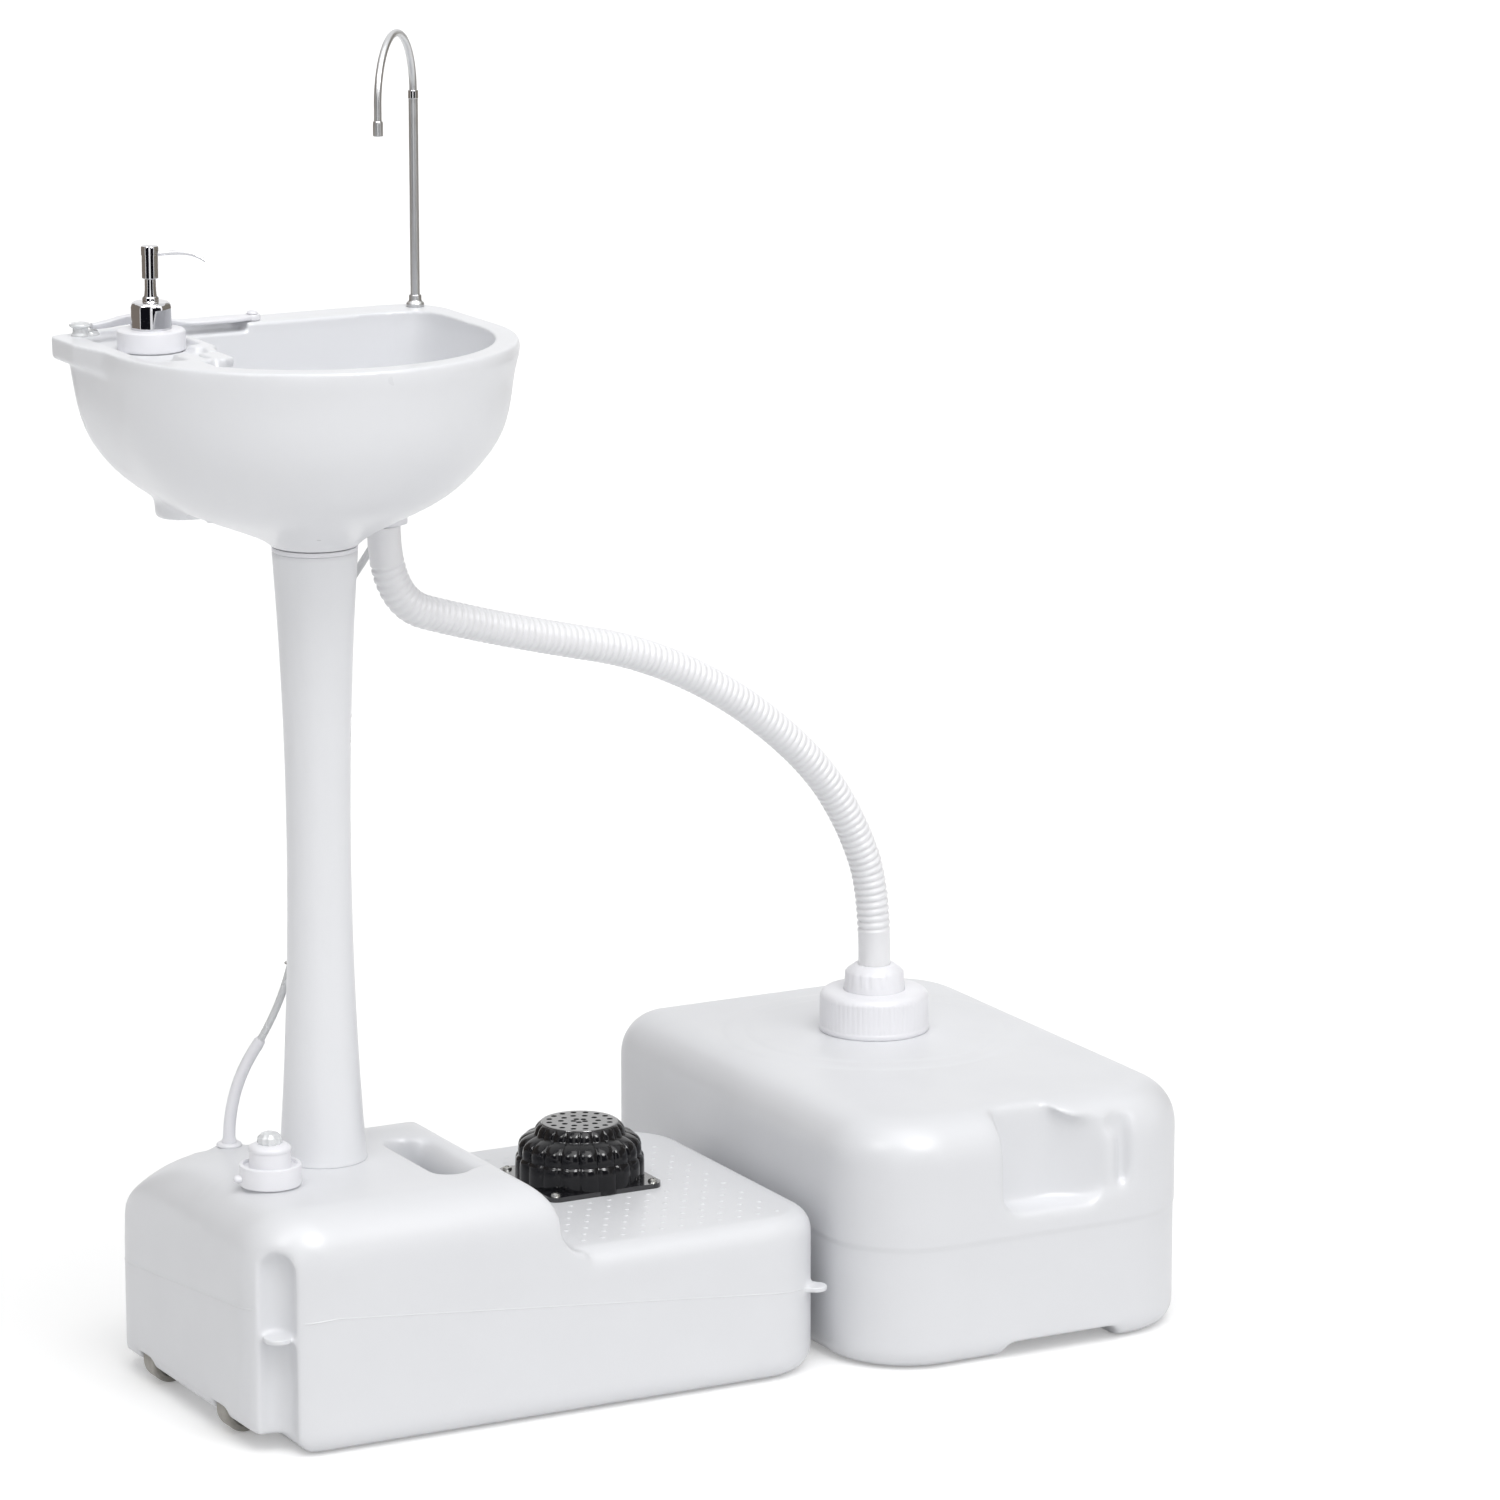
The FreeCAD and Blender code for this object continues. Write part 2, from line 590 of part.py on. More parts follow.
shell = outer_loft(OUTER_LEVELS, 0.0, True)
lip_edge = [(-110, LIP_Y1), (LIP_X + 12, LIP_Y1), (LIP_X + 3, LIP_Y1 - 4), (LIP_X, LIP_Y1 - 13),
            (LIP_X, 60), (1 - BASIN_LEFT, 12), (-110, 12)]
lip = plate(lip_edge, RIM - LIP_T, RIM)
well = cyl(SOAP_X, SOAP_Y, WELL_FLOOR - 3, RIM, WELL_R + WALL)
nub = cyl(NUB_X, NUB_Y, NUB_Z0, NUB_Z1, NUB_R)
boss = cyl(DRAIN_X, DRAIN_Y, DRAIN_BOSS_Z, DRAIN_SEAT + 1, 20.0)
bowl = bowl_loft(0.0)
(div_x0, div_y0), (div_x1, div_y1) = DIVIDER
tray_edge = [(TRAY_X0, LEDGE_Y[1] - 6), (TRAY_X0 + 6, LEDGE_Y[1]), (LEDGE_X1 - 6, LEDGE_Y[1]),
             (LEDGE_X1, LEDGE_Y[1] - 8), (LEDGE_X1, LEDGE_Y[0]), (div_x0 - DIVIDER_T, LEDGE_Y[0]),
             (div_x0 - DIVIDER_T, div_y0), (div_x1 - DIVIDER_T, div_y1), (TRAY_X0 + 8, div_y1),
             (TRAY_X0, div_y1 + 10)]
tray = plate(tray_edge, TRAY, RIM + 5).common(outer_loft(OUTER_LEVELS[:4], 8.0, False).fuse(
    plate(tray_edge, RIM - 0.01, RIM + 5)))
void = outer_loft(OUTER_LEVELS[:7], BASIN_WALL, True)
void = void.common(box(-300, 300, -300, 300, 710.0, TRAY - BASIN_WALL))
void = void.cut([bowl_loft(BASIN_WALL), cyl(SOAP_X, SOAP_Y, 600, 900, WELL_R + WALL),
                 cyl(FAUCET_X, FAUCET_Y, 600, 900, 19.5), cyl(ARM_X, ARM_Y, 600, 900, 7.0),
                 cyl(NUB_X, NUB_Y, 600, NUB_Z1, NUB_R)])
basin = shell.fuse([lip, well, nub, boss]).cut(void)
notches = [box(div_x0 - 2 * DIVIDER_T, div_x0 + 1, -24.0, -12.0, TRAY, RIM + 5),
           box(-103.0, -98.0, div_y1 - DIVIDER_T - 2, div_y1 + 2, TRAY, RIM + 5)]
basin = basin.cut([bowl, tray] + notches)
basin = basin.fuse(cyl(ARM_X, ARM_Y, TRAY - 1, ARM_Z - GAP, 8.0))
basin = basin.cut([
    cyl(SOAP_X, SOAP_Y, WELL_FLOOR, RIM + 5, WELL_R),
    cyl(0, 0, BASIN_FOOT - 5, PED_SPIGOT_TOP + 1, PED_SPIGOT_R + SEAT),
    cyl(DRAIN_X, DRAIN_Y, DRAIN_SEAT, DRAIN_SEAT + 25, 19.5),
    cyl(DRAIN_X, DRAIN_Y, 660, 720, TAIL_R + SEAT),
    cyl(DRAIN_X, DRAIN_Y, 600, DRAIN_BOSS_Z, DRAIN_NUT_R + 1.0),
    cyl(FAUCET_X, FAUCET_Y, 600, RIM - LEDGE_T, 15.5),
    cyl(FAUCET_X, FAUCET_Y, 700, RIM + 5, 6.2),
    cyl(ARM_X, ARM_Y, TRAY - 4, RIM + 5, TOWEL_PIN_R + 0.05),
    cyl(VENT_X, VENT_Y, 680, 745, 2.5)])
put("basin", basin)

# Soap dispenser
bottle = cyl(SOAP_X, SOAP_Y, WELL_FLOOR + 2, TRAY + 2, BOTTLE_R)
bottle = bottle.makeFillet(6.0, [e for e in bottle.Edges if e.BoundBox.ZMax < WELL_FLOOR + 2.1])
bottle = bottle.fuse(cyl(SOAP_X, SOAP_Y, TRAY, STEM_TOP - 24, 13.0))
bottle = bottle.cut([cyl(SOAP_X, SOAP_Y, WELL_FLOOR + 4, TRAY, BOTTLE_R - 2),
                     cyl(SOAP_X, SOAP_Y, TRAY - 1, STEM_TOP, 11.0)])
put("soap_bottle", bottle)
RING_TOP = TRAY + 16.0
soap_ring = cyl(SOAP_X, SOAP_Y, TRAY + 0.2, RING_TOP, SOAP_RING_R)
soap_ring = soap_ring.makeFillet(2.0, [e for e in soap_ring.Edges if e.BoundBox.ZMin > RING_TOP - 0.1])
soap_ring = soap_ring.cut([cyl(SOAP_X, SOAP_Y, TRAY - 1, TRAY + 2.3, BOTTLE_R + SEAT),
                           cyl(SOAP_X, SOAP_Y, TRAY, RING_TOP + 1, 13.0 + SEAT)])
put("soap_ring", soap_ring)
COLLAR_Z1 = RING_TOP + 20.5
rims = [(RING_TOP, 1.0), (COLLAR_Z1 - 2.5, 0.985), (COLLAR_Z1, 0.86)]
soap_collar = Part.makeLoft([Part.makePolygon([
    V(SOAP_X + SOAP_COLLAR_R * k * math.cos((i + 0.5) * 2 * math.pi / COLLAR_FACETS),
      SOAP_Y + SOAP_COLLAR_R * k * math.sin((i + 0.5) * 2 * math.pi / COLLAR_FACETS), z)
    for i in range(COLLAR_FACETS + 1)]) for z, k in rims], True, True)
soap_collar = soap_collar.cut([cyl(SOAP_X, SOAP_Y, RING_TOP - 1, COLLAR_Z1 - 3, 13.0 + SEAT),
                               cyl(SOAP_X, SOAP_Y, RING_TOP, COLLAR_Z1 + 1, STEM_R + FIT)])
put("soap_collar", soap_collar)
BARREL_Z0 = 780.0
barrel = revolve([(6.0, BARREL_Z0 + 3), (6.0, COLLAR_Z1 - 4), (12.6, COLLAR_Z1 - 4), (12.6, STEM_TOP - 24),
                  (9.0, STEM_TOP - 24), (9.0, BARREL_Z0), (1.5, BARREL_Z0), (1.5, BARREL_Z0 + 3)],
                 SOAP_X, SOAP_Y)
put("soap_barrel", barrel)
STEM_FOOT = 806.0
stem = cyl(SOAP_X, SOAP_Y, STEM_FOOT, STEM_TOP, STEM_R).fuse(cyl(SOAP_X, SOAP_Y, STEM_TOP, HEAD_TOP - 6, 3.0))
stem = stem.cut(cyl(SOAP_X, SOAP_Y, STEM_FOOT - 1, HEAD_TOP, 1.5))
put("soap_stem", stem)
put("soap_spring", helix(SOAP_X, SOAP_Y, BARREL_Z0 + 3.1, STEM_FOOT - 0.1, 4.6, 0.6, 5))
put("soap_dip_tube", ring(SOAP_X, SOAP_Y, WELL_FLOOR + 7, BARREL_Z0, 2.8, 1.8))
head = cyl(SOAP_X, SOAP_Y, STEM_TOP + GAP, HEAD_TOP, HEAD_R)
head = head.makeFillet(1.0, [e for e in head.Edges if e.BoundBox.ZMin > HEAD_TOP - 0.1])
root = V(SOAP_X, SOAP_Y, HEAD_TOP - 6)
spout_route = [root + SPOUT_DIR * 3.5, root + SPOUT_DIR * 16 + V(0, 0, 1.0), root + SPOUT_DIR * 29,
               root + SPOUT_DIR * 42 + V(0, 0, -6.0)]
spout = sweep(route(spout_route, corner_radii(spout_route)), 1.6)
head = head.fuse(spout).cut(cyl(SOAP_X, SOAP_Y, STEM_TOP - 1, HEAD_TOP - 5, 3.0 + FIT))
put("soap_head", head)

# Towel arm, its pin and its rest
pivot = V(ARM_X, ARM_Y, 0)
tip = V(ARM_TIP_X, ARM_TIP_Y, 0)
way = (tip - pivot).normalize()
across = V(-way.y, way.x, 0)
arm_length = (tip - pivot).Length
slim = ARM_HALF * 0.6
waist = pivot + (tip - pivot) * 0.45
arm_edge = [pivot + across * ARM_HALF, waist + across * slim, tip + across * slim,
            tip - across * slim, waist - across * slim, pivot - across * ARM_HALF]
bar = Part.Face(Part.makePolygon(arm_edge + [arm_edge[0]])).extrude(V(0, 0, RIM + 60))
bar = bar.fuse([cyl(ARM_X, ARM_Y, 0, RIM + 60, 8.0), cyl(tip.x, tip.y, 0, RIM + 60, slim)])
ARCH_RUN = [(-20.0, 0.0), (0.42 * arm_length, 0.0), (0.62 * arm_length, 0.7 * ARM_ARCH),
            (0.76 * arm_length, ARM_ARCH), (0.88 * arm_length, 0.75 * ARM_ARCH),
            (arm_length + 20, 0.35 * ARM_ARCH)]
arch = [(d, ARM_Z + h) for d, h in ARCH_RUN] + [(d, ARM_Z + ARM_T + h) for d, h in reversed(ARCH_RUN)]
side = Part.Face(Part.makePolygon([pivot + way * d - across * 40 + Z * z for d, z in arch + arch[:1]]))
arm = bar.common(side.extrude(across * 80))
put("towel_arm", arm.cut(cyl(ARM_X, ARM_Y, RIM - 5, ARM_Z + 20, TOWEL_PIN_R + FIT)))
pin = cyl(ARM_X, ARM_Y, TRAY - 3.5, ARM_Z + ARM_T + GAP, TOWEL_PIN_R)
cap_top = revolve([(0, ARM_Z + ARM_T + GAP), (5.5, ARM_Z + ARM_T + GAP), (5.0, ARM_Z + ARM_T + 1.4),
                   (3.0, ARM_Z + ARM_T + 2.4), (0, ARM_Z + ARM_T + 2.7)], ARM_X, ARM_Y)
put("towel_pin", pin.fuse(cap_top))
REST_TOP = ARM_Z + 0.35 * ARM_ARCH - GAP
rest = revolve([(0, RIM), (7.5, RIM), (6.2, RIM + 2), (6.2, REST_TOP), (0, REST_TOP)],
               ARM_TIP_X - 2.0, ARM_TIP_Y)
stop = box(ARM_TIP_X - 11.0, ARM_TIP_X - 6.0, ARM_TIP_Y - 5.0, ARM_TIP_Y + 5.0, RIM, REST_TOP + ARM_T + 2.0)
put("towel_rest", rest.fuse(stop))

# Faucet
FERRULE_Z0 = 798.0
RISER_Z0 = 808.0
ferrule = revolve([(RISER_R + FIT, RISER_Z0), (RISER_R + FIT, RIM + 9), (4.7, RIM + 9), (5.2, RIM + 4),
                   (7.0, RIM + 2.5), (7.0, RIM), (5.9, RIM), (5.9, FERRULE_Z0), (SUPPLY_BORE, FERRULE_Z0),
                   (SUPPLY_BORE, RISER_Z0)], FAUCET_X, FAUCET_Y)
put("faucet_ferrule", ferrule)
put("faucet_washer", ring(FAUCET_X, FAUCET_Y, RIM - LEDGE_T - 2, RIM - LEDGE_T, 12.5, 5.9 + GAP))
nut = Part.Face(Part.makePolygon([V(FAUCET_X + 11.5 * math.cos(i * math.pi / 3),
                                    FAUCET_Y + 11.5 * math.sin(i * math.pi / 3), RIM - LEDGE_T - 10)
                                  for i in range(7)])).extrude(V(0, 0, 8))
put("faucet_nut", nut.cut(cyl(FAUCET_X, FAUCET_Y, 780, RIM, 5.9 + GAP)))
put("faucet_riser", ring(FAUCET_X, FAUCET_Y, RISER_Z0 + GAP, RISER_TOP, RISER_R, RISER_R - 1.0))
start = V(FAUCET_X, FAUCET_Y, RISER_TOP)
crown = start + FAUCET_DIR * NECK_BEND_R + Z * NECK_BEND_R
drop = start + FAUCET_DIR * (2 * NECK_BEND_R)
bend = [Part.LineSegment(start, start + Z * NECK_LEAD).toShape(),
        Part.Arc(start + Z * NECK_LEAD, crown + Z * NECK_LEAD, drop + Z * NECK_LEAD).toShape(),
        Part.LineSegment(drop + Z * NECK_LEAD, drop - Z * NECK_DROP).toShape()]
put("faucet_gooseneck", sweep(bend, NECK_TUBE_R).cut(sweep(bend, NECK_TUBE_R - 0.8)))
joint = ring(FAUCET_X, FAUCET_Y, RISER_TOP - 5, RISER_TOP, RISER_R + 0.6, RISER_R + 0.05)
put("faucet_joint_ring", joint.fuse(
    ring(FAUCET_X, FAUCET_Y, RISER_TOP, RISER_TOP + 1.5, RISER_R + 0.6, NECK_TUBE_R + 0.05)))
nozzle = revolve([(NECK_TUBE_R + 0.05, 0), (NECK_TUBE_R + 0.05, 9), (4.0, 9), (4.5, 6), (4.5, -2.5),
                  (2.4, -2.5), (2.4, 0)], drop.x, drop.y)
nozzle.translate(Z * (drop.z - NECK_DROP))
put("faucet_nozzle", nozzle)

# Basin drain
grid = [cyl(DRAIN_X + 6.5 * math.cos(i * math.pi / 3), DRAIN_Y + 6.5 * math.sin(i * math.pi / 3),
            DRAIN_SEAT - 2, DRAIN_SEAT + 5, 1.9) for i in range(6)]
strainer = cyl(DRAIN_X, DRAIN_Y, DRAIN_SEAT, DRAIN_SEAT + 2.2, 18.8).cut(grid)
put("drain_strainer", strainer.cut(cyl(DRAIN_X, DRAIN_Y, DRAIN_SEAT - 2, DRAIN_SEAT + 5, 1.9)))
put("drain_tailpiece", ring(DRAIN_X, DRAIN_Y, TAIL_Z0, DRAIN_SEAT, TAIL_R, TAIL_BORE))
put("drain_gasket", ring(DRAIN_X, DRAIN_Y, DRAIN_BOSS_Z - 2, DRAIN_BOSS_Z, DRAIN_NUT_R - 0.5, TAIL_R + GAP))
put("drain_nut", ring(DRAIN_X, DRAIN_Y, TAIL_Z0 + 2, DRAIN_BOSS_Z - 2, DRAIN_NUT_R, TAIL_R + GAP))

# Drain hose: ribbed, from the tailpiece down to the collar of the waste cap.
# The route lies in the upright plane through both ends: distance along it, and height.
HOSE_RUN = [(0.0, TAIL_Z0), (0.0, 617.0), (75.0, 592.0), (154.0, 570.0), (244.0, 547.0), (334.0, 501.0),
            (414.0, 436.0), (454.0, 378.0), (1.0, 318.0), (1.0, COLLAR_TOP)]
span = V(CAP_X - DRAIN_X, CAP_Y - DRAIN_Y, 0)
reach = span.Length
span.normalize()
hose_points = []
for s, z in HOSE_RUN:
    d = reach if s == 1.0 else s
    hose_points.append(V(DRAIN_X + span.x * d, DRAIN_Y + span.y * d, z))


def ribbed_hose(points, r_crest, r_valley, r_bore, pitch, cuff):
    """Hose with round ribs: a ruled loft through four circles a rib, plain cuffs at the ends."""
    radii = corner_radii(points)
    edges = route(points, radii)
    length = sum(e.Length for e in edges)
    steady = (points[-1] - points[0]).cross(Z).normalize()

    def frame(s):
        for e in edges:
            if s <= e.Length or e is edges[-1]:
                at = e.getParameterByLength(min(s, e.Length))
                return e.valueAt(at), e.tangentAt(at)
            s -= e.Length

    def circle(s, r):
        at, tangent = frame(s)
        loop = Part.Wire([Part.Circle(V(0, 0, 0), Z, r).toShape()])
        return placed(loop, at, steady, tangent)

    ribs = int((length - 2 * cuff) / pitch)
    cuff = (length - ribs * pitch) / 2
    stations = [(0.0, r_crest)]
    for i in range(ribs):
        s0 = cuff + i * pitch
        for part, r in ((0.04, r_crest), (0.24, r_valley), (0.50, r_valley), (0.70, r_crest)):
            stations.append((s0 + part * pitch, r))
    stations.append((length, r_crest))
    body = Part.makeLoft([circle(s, r) for s, r in stations], True, True)
    hose = body.cut(sweep(edges, r_bore))
    mean = 0.5 * (r_crest ** 2 + r_valley ** 2)
    print("drain_hose length %.0f mm, %d ribs, radii %s, volume ratio %.3f" % (
        length, ribs, " ".join("%.0f" % r for r in radii),
        hose.Volume / (math.pi * (mean - r_bore ** 2) * length)))
    return hose


put("drain_hose", ribbed_hose(hose_points, HOSE_R, HOSE_VALLEY, HOSE_BORE, RIB_PITCH, 2 * HOSE_R))

# Foot pump
flange = prism(PUMP_X - FLANGE_HALF, PUMP_X + FLANGE_HALF, PUMP_Y - FLANGE_HALF, PUMP_Y + FLANGE_HALF, 9.0,
               LOW_DECK, LOW_DECK + FLANGE_T)
flange = flange.cut([cyl(x, y, 100, 160, SCREW_R + 0.2) for x, y in screw_spots])
flange = flange.cut([cyl(PUMP_X + s * 10, PUMP_Y, 100, 160, 4.0) for s in (-1, 1)])
put("pump_flange", flange)
screws = []
for x, y in screw_spots:
    shank = cyl(x, y, LOW_DECK - 8, LOW_DECK + FLANGE_T, SCREW_R)
    dome = revolve([(0, LOW_DECK + FLANGE_T), (4.0, LOW_DECK + FLANGE_T), (3.4, LOW_DECK + FLANGE_T + 1.6),
                    (1.8, LOW_DECK + FLANGE_T + 2.4), (0, LOW_DECK + FLANGE_T + 2.6)], x, y)
    cross = [box(x - 2.2, x + 2.2, y - 0.5, y + 0.5, LOW_DECK + FLANGE_T + 1.2, LOW_DECK + 10),
             box(x - 0.5, x + 0.5, y - 2.2, y + 2.2, LOW_DECK + FLANGE_T + 1.2, LOW_DECK + 10)]
    screws.append(shank.fuse(dome).cut(cross))
put("pump_screws", Part.makeCompound(screws))
SKIN = LOW_DECK + FLANGE_T
BELLOWS = [(SKIN, 45.5, 0.6), (139.0, 47.6, 1.4), (148.0, 48.2, 1.7), (157.0, 46.8, 1.7), (165.0, 42.8, 1.4),
           (171.0, 37.6, 0.9), (BELLOWS_TOP, 34.2, 0.4)]


def fluted(z, r, depth, count, per):
    """Closed section with round flutes."""
    n = count * per
    points = []
    for i in range(n):
        a = 2 * math.pi * i / n
        rr = r + depth * math.cos(count * a)
        points.append(V(PUMP_X + rr * math.cos(a), PUMP_Y + rr * math.sin(a), z))
    return spline(points)


skin = Part.makeLoft([fluted(z, r, d, FLUTES, 4) for z, r, d in BELLOWS], True, False)
hollow = [(0, SKIN - 1)] + [(BELLOWS[0][1] - 3.2, SKIN - 1)]
hollow += [(r - d - 2.4, z) for z, r, d in BELLOWS[:-1]] + [(0, BELLOWS[-2][0])]
bellows = skin.cut([revolve(hollow, PUMP_X, PUMP_Y), cyl(PUMP_X, PUMP_Y, 150, 190, 22.0)])
put("pump_bellows", bellows)
PAD_Z0 = BELLOWS_TOP + 0.2
pad = cyl(PUMP_X, PUMP_Y, PAD_Z0, PAD_Z0 + PAD_T, PAD_R)
pad = pad.makeFillet(2.0, [e for e in pad.Edges if e.BoundBox.ZMin > PAD_Z0 + PAD_T - 0.1])
dimples = []
for count, r in PAD_HOLES:
    for i in range(count):
        a = 2 * math.pi * (i + 0.3) / count
        dimples.append(cyl(PUMP_X + r * math.cos(a), PUMP_Y + r * math.sin(a),
                           PAD_Z0 + PAD_T - 2.2, PAD_Z0 + PAD_T + 1, PAD_HOLE_R))
put("pump_pad", pad.cut(dimples))
put("pump_spring", helix(PUMP_X, PUMP_Y, SKIN + 0.1, PAD_Z0 - 0.1, 15.0, 1.4, 5))
MEMBRANE_T = 1.5
membrane = cyl(PUMP_X, PUMP_Y, LOW_DECK - MEMBRANE_T, LOW_DECK, VALVE_R - 0.6)
put("valve_membrane", membrane.cut([cyl(PUMP_X + s * 10, PUMP_Y, 100, 160, 2.5) for s in (-1, 1)]))
valve = cyl(PUMP_X, PUMP_Y, VALVE_Z0, LOW_DECK - MEMBRANE_T, VALVE_R)
PORT_END = PUMP_X - VALVE_R - 6.0
valve = valve.fuse(Part.makeCylinder(7.0, PUMP_X - PORT_END, V(PORT_END, PUMP_Y, PIPE_Z), X))
valve = valve.cut([cyl(PUMP_X + 10, PUMP_Y, VALVE_Z0 - 1, LOW_DECK, 3.5),
                   cyl(PUMP_X - 10, PUMP_Y, PIPE_Z, LOW_DECK, 3.5),
                   Part.makeCylinder(PIPE_BORE, PUMP_X - 9 - PORT_END, V(PORT_END - 1, PUMP_Y, PIPE_Z), X)])
put("pump_valve_body", valve)
STRAINER_TOP = 14.0
put("suction_tube", ring(PUMP_X + 10, PUMP_Y, STRAINER_TOP, VALVE_Z0, 5.0, 3.5))
foot = ring(PUMP_X + 10, PUMP_Y, WALL + 1, STRAINER_TOP - 2, 9.0, 7.5).fuse(
    ring(PUMP_X + 10, PUMP_Y, STRAINER_TOP - 2, STRAINER_TOP, 9.0, 3.5))
slots = []
for i in range(4):
    slot = box(-12, 12, -1.2, 1.2, WALL, STRAINER_TOP - 5)
    slot.rotate(V(0, 0, 0), Z, 45 * i)
    slot.translate(V(PUMP_X + 10, PUMP_Y, 0))
    slots.append(slot)
put("suction_strainer", foot.cut(slots))
GROMMET_Z0 = DECK - 7.0
pipe_points = [V(PORT_END, PUMP_Y, PIPE_Z), V(110, PUMP_Y, PIPE_Z), V(PORT_X, PORT_Y, PIPE_Z),
               V(PORT_X, PORT_Y, GROMMET_Z0)]
put("delivery_pipe", tube("delivery_pipe", pipe_points, PIPE_R, PIPE_BORE))

# Supply hose from the deck to the faucet, up behind the pedestal
PORT_TOP = DECK + 2.5
grommet = cyl(PORT_X, PORT_Y, GROMMET_Z0, DECK, 5.9).fuse(cyl(PORT_X, PORT_Y, DECK, PORT_TOP, 10.0))
put("supply_grommet", grommet.cut(cyl(PORT_X, PORT_Y, GROMMET_Z0 - 1, PORT_TOP + 1, SUPPLY_BORE)))
supply_points = [V(PORT_X, PORT_Y, PORT_TOP), V(PORT_X, PORT_Y, 232), V(-17, 39, 300), V(0, 36, 368),
                 V(-1, 38, 450), V(2, 38, 530), V(22, 47, 596), V(76, 72, 640), V(126, 101, 690),
                 V(FAUCET_X, FAUCET_Y, 748), V(FAUCET_X, FAUCET_Y, FERRULE_Z0)]
put("supply_hose", tube("supply_hose", supply_points, SUPPLY_R, SUPPLY_BORE))
bend_r = corner_radii(supply_points)[:1]
sleeve_end = supply_points[1] + (supply_points[2] - supply_points[1]) * 0.62
sleeve_points = supply_points[:2] + [sleeve_end]
put("supply_sleeve", tube("supply_sleeve", sleeve_points, SLEEVE_R, SUPPLY_R + 0.2, bend_r))
CLIP_T = 0.55
clip_at = supply_points[2] + (supply_points[3] - supply_points[2]) * CLIP_T
loop = Part.makeTorus(4.4, 0.9, clip_at, (supply_points[3] - supply_points[2]).normalize())
inward = V(-clip_at.x, -clip_at.y, 0)
far = inward.Length
inward.normalize()
leg = Part.makeCylinder(0.9, far - 4.4 - 29.0, clip_at + inward * 4.4, inward)
saddle = cyl(0, 0, clip_at.z - 3.5, clip_at.z + 3.5, 30.0).cut(cyl(0, 0, 0, 900, 28.7))
wedge = box(-4.0, 4.0, 0, 60, clip_at.z - 10, clip_at.z + 10)
wedge.rotate(V(0, 0, 0), Z, math.degrees(math.atan2(clip_at.y, clip_at.x)) - 90)
put("hose_clip", loop.fuse([leg, saddle.common(wedge)]))

# Filler cap: it turns on its seal, which rises with it
SEAL_T = 1.8
put("filler_seal", cyl(FILL_X, FILL_Y, FILL_NECK_TOP, FILL_NECK_TOP + SEAL_T, FILL_NECK_R - 0.5))
CAP_FLOOR = FILL_NECK_TOP + SEAL_T
cap = revolve([(0, CAP_FLOOR), (FILL_NECK_R + SEAT, CAP_FLOOR), (FILL_NECK_R + SEAT, DECK + 1.5),
               (FILL_CAP_R - 1, DECK + 1.5), (FILL_CAP_R, DECK + 3), (FILL_CAP_R, CAP_FLOOR + 2),
               (FILL_CAP_R - 2, CAP_FLOOR + 4), (16.0, CAP_FLOOR + 5), (15.2, CAP_FLOOR + 12),
               (13.0, CAP_FLOOR + 18), (10.0, CAP_FLOOR + 20), (0, CAP_FLOOR + 20)], FILL_X, FILL_Y)
lug = box(-29.5, -20.0, -4.0, 4.0, DECK + 3, DECK + 9)
lug.rotate(V(0, 0, 0), Z, -8)
lug.translate(V(FILL_X, FILL_Y, 0))
hollow_neck = cyl(FILL_X, FILL_Y, DECK, CAP_FLOOR, FILL_NECK_R + SEAT)
put("filler_cap", cap.fuse(lug.cut(hollow_neck)))
vent_z = CAP_FLOOR + 20
VENT_R = 9.5
facets = plate([(FILL_X + VENT_R * math.cos(i * math.pi / 6), FILL_Y + VENT_R * math.sin(i * math.pi / 6))
                for i in range(12)], vent_z, vent_z + 7)
put("filler_vent", facets.fuse(cyl(FILL_X, FILL_Y, vent_z + 7, vent_z + 9, 6.5)))

# Waste tank


def hand_hold(t):
    """Grip recess in the front, open at the top: deep part and a shallow part round the roll."""
    y0 = WASTE_Y0 - 20
    top = -(WASTE_H + 40)
    deep = prism(HAND_X0 - t, HAND_X1 + t, top, -(HAND_Z0 - t), 16 + t, 0, HAND_DEPTH + 20 + t)
    flat = prism(HAND_X0 + 20, HAND_FLAT_X1 + t, top, -(HAND_Z0 + 8 - t), 14 + t, 0, 32 + t)
    shape = deep.fuse(flat)
    shape.rotate(V(0, 0, 0), X, -90)
    shape.translate(V(0, y0, 0))
    return shape


def arch_channel(t):
    """Channel along the underside between the feet."""
    shape = prism(ARCH_X0 - t, ARCH_X1 + t, -(ARCH_H + t), 40, 8.0, 0, WASTE_Y1 - WASTE_Y0 + 40)
    shape.rotate(V(0, 0, 0), X, -90)
    shape.translate(V(0, WASTE_Y0 - 20, 0))
    return shape


def waste_form(t):
    return rounded_block(WASTE_X0 + t, WASTE_X1 - t, WASTE_Y0 + t, WASTE_Y1 - t, t, WASTE_H - t,
                         (WASTE_R - t, WASTE_R - t, WASTE_BACK_R - t, WASTE_R - t), WASTE_ROUND - t,
                         FOOT_ROUND - t)


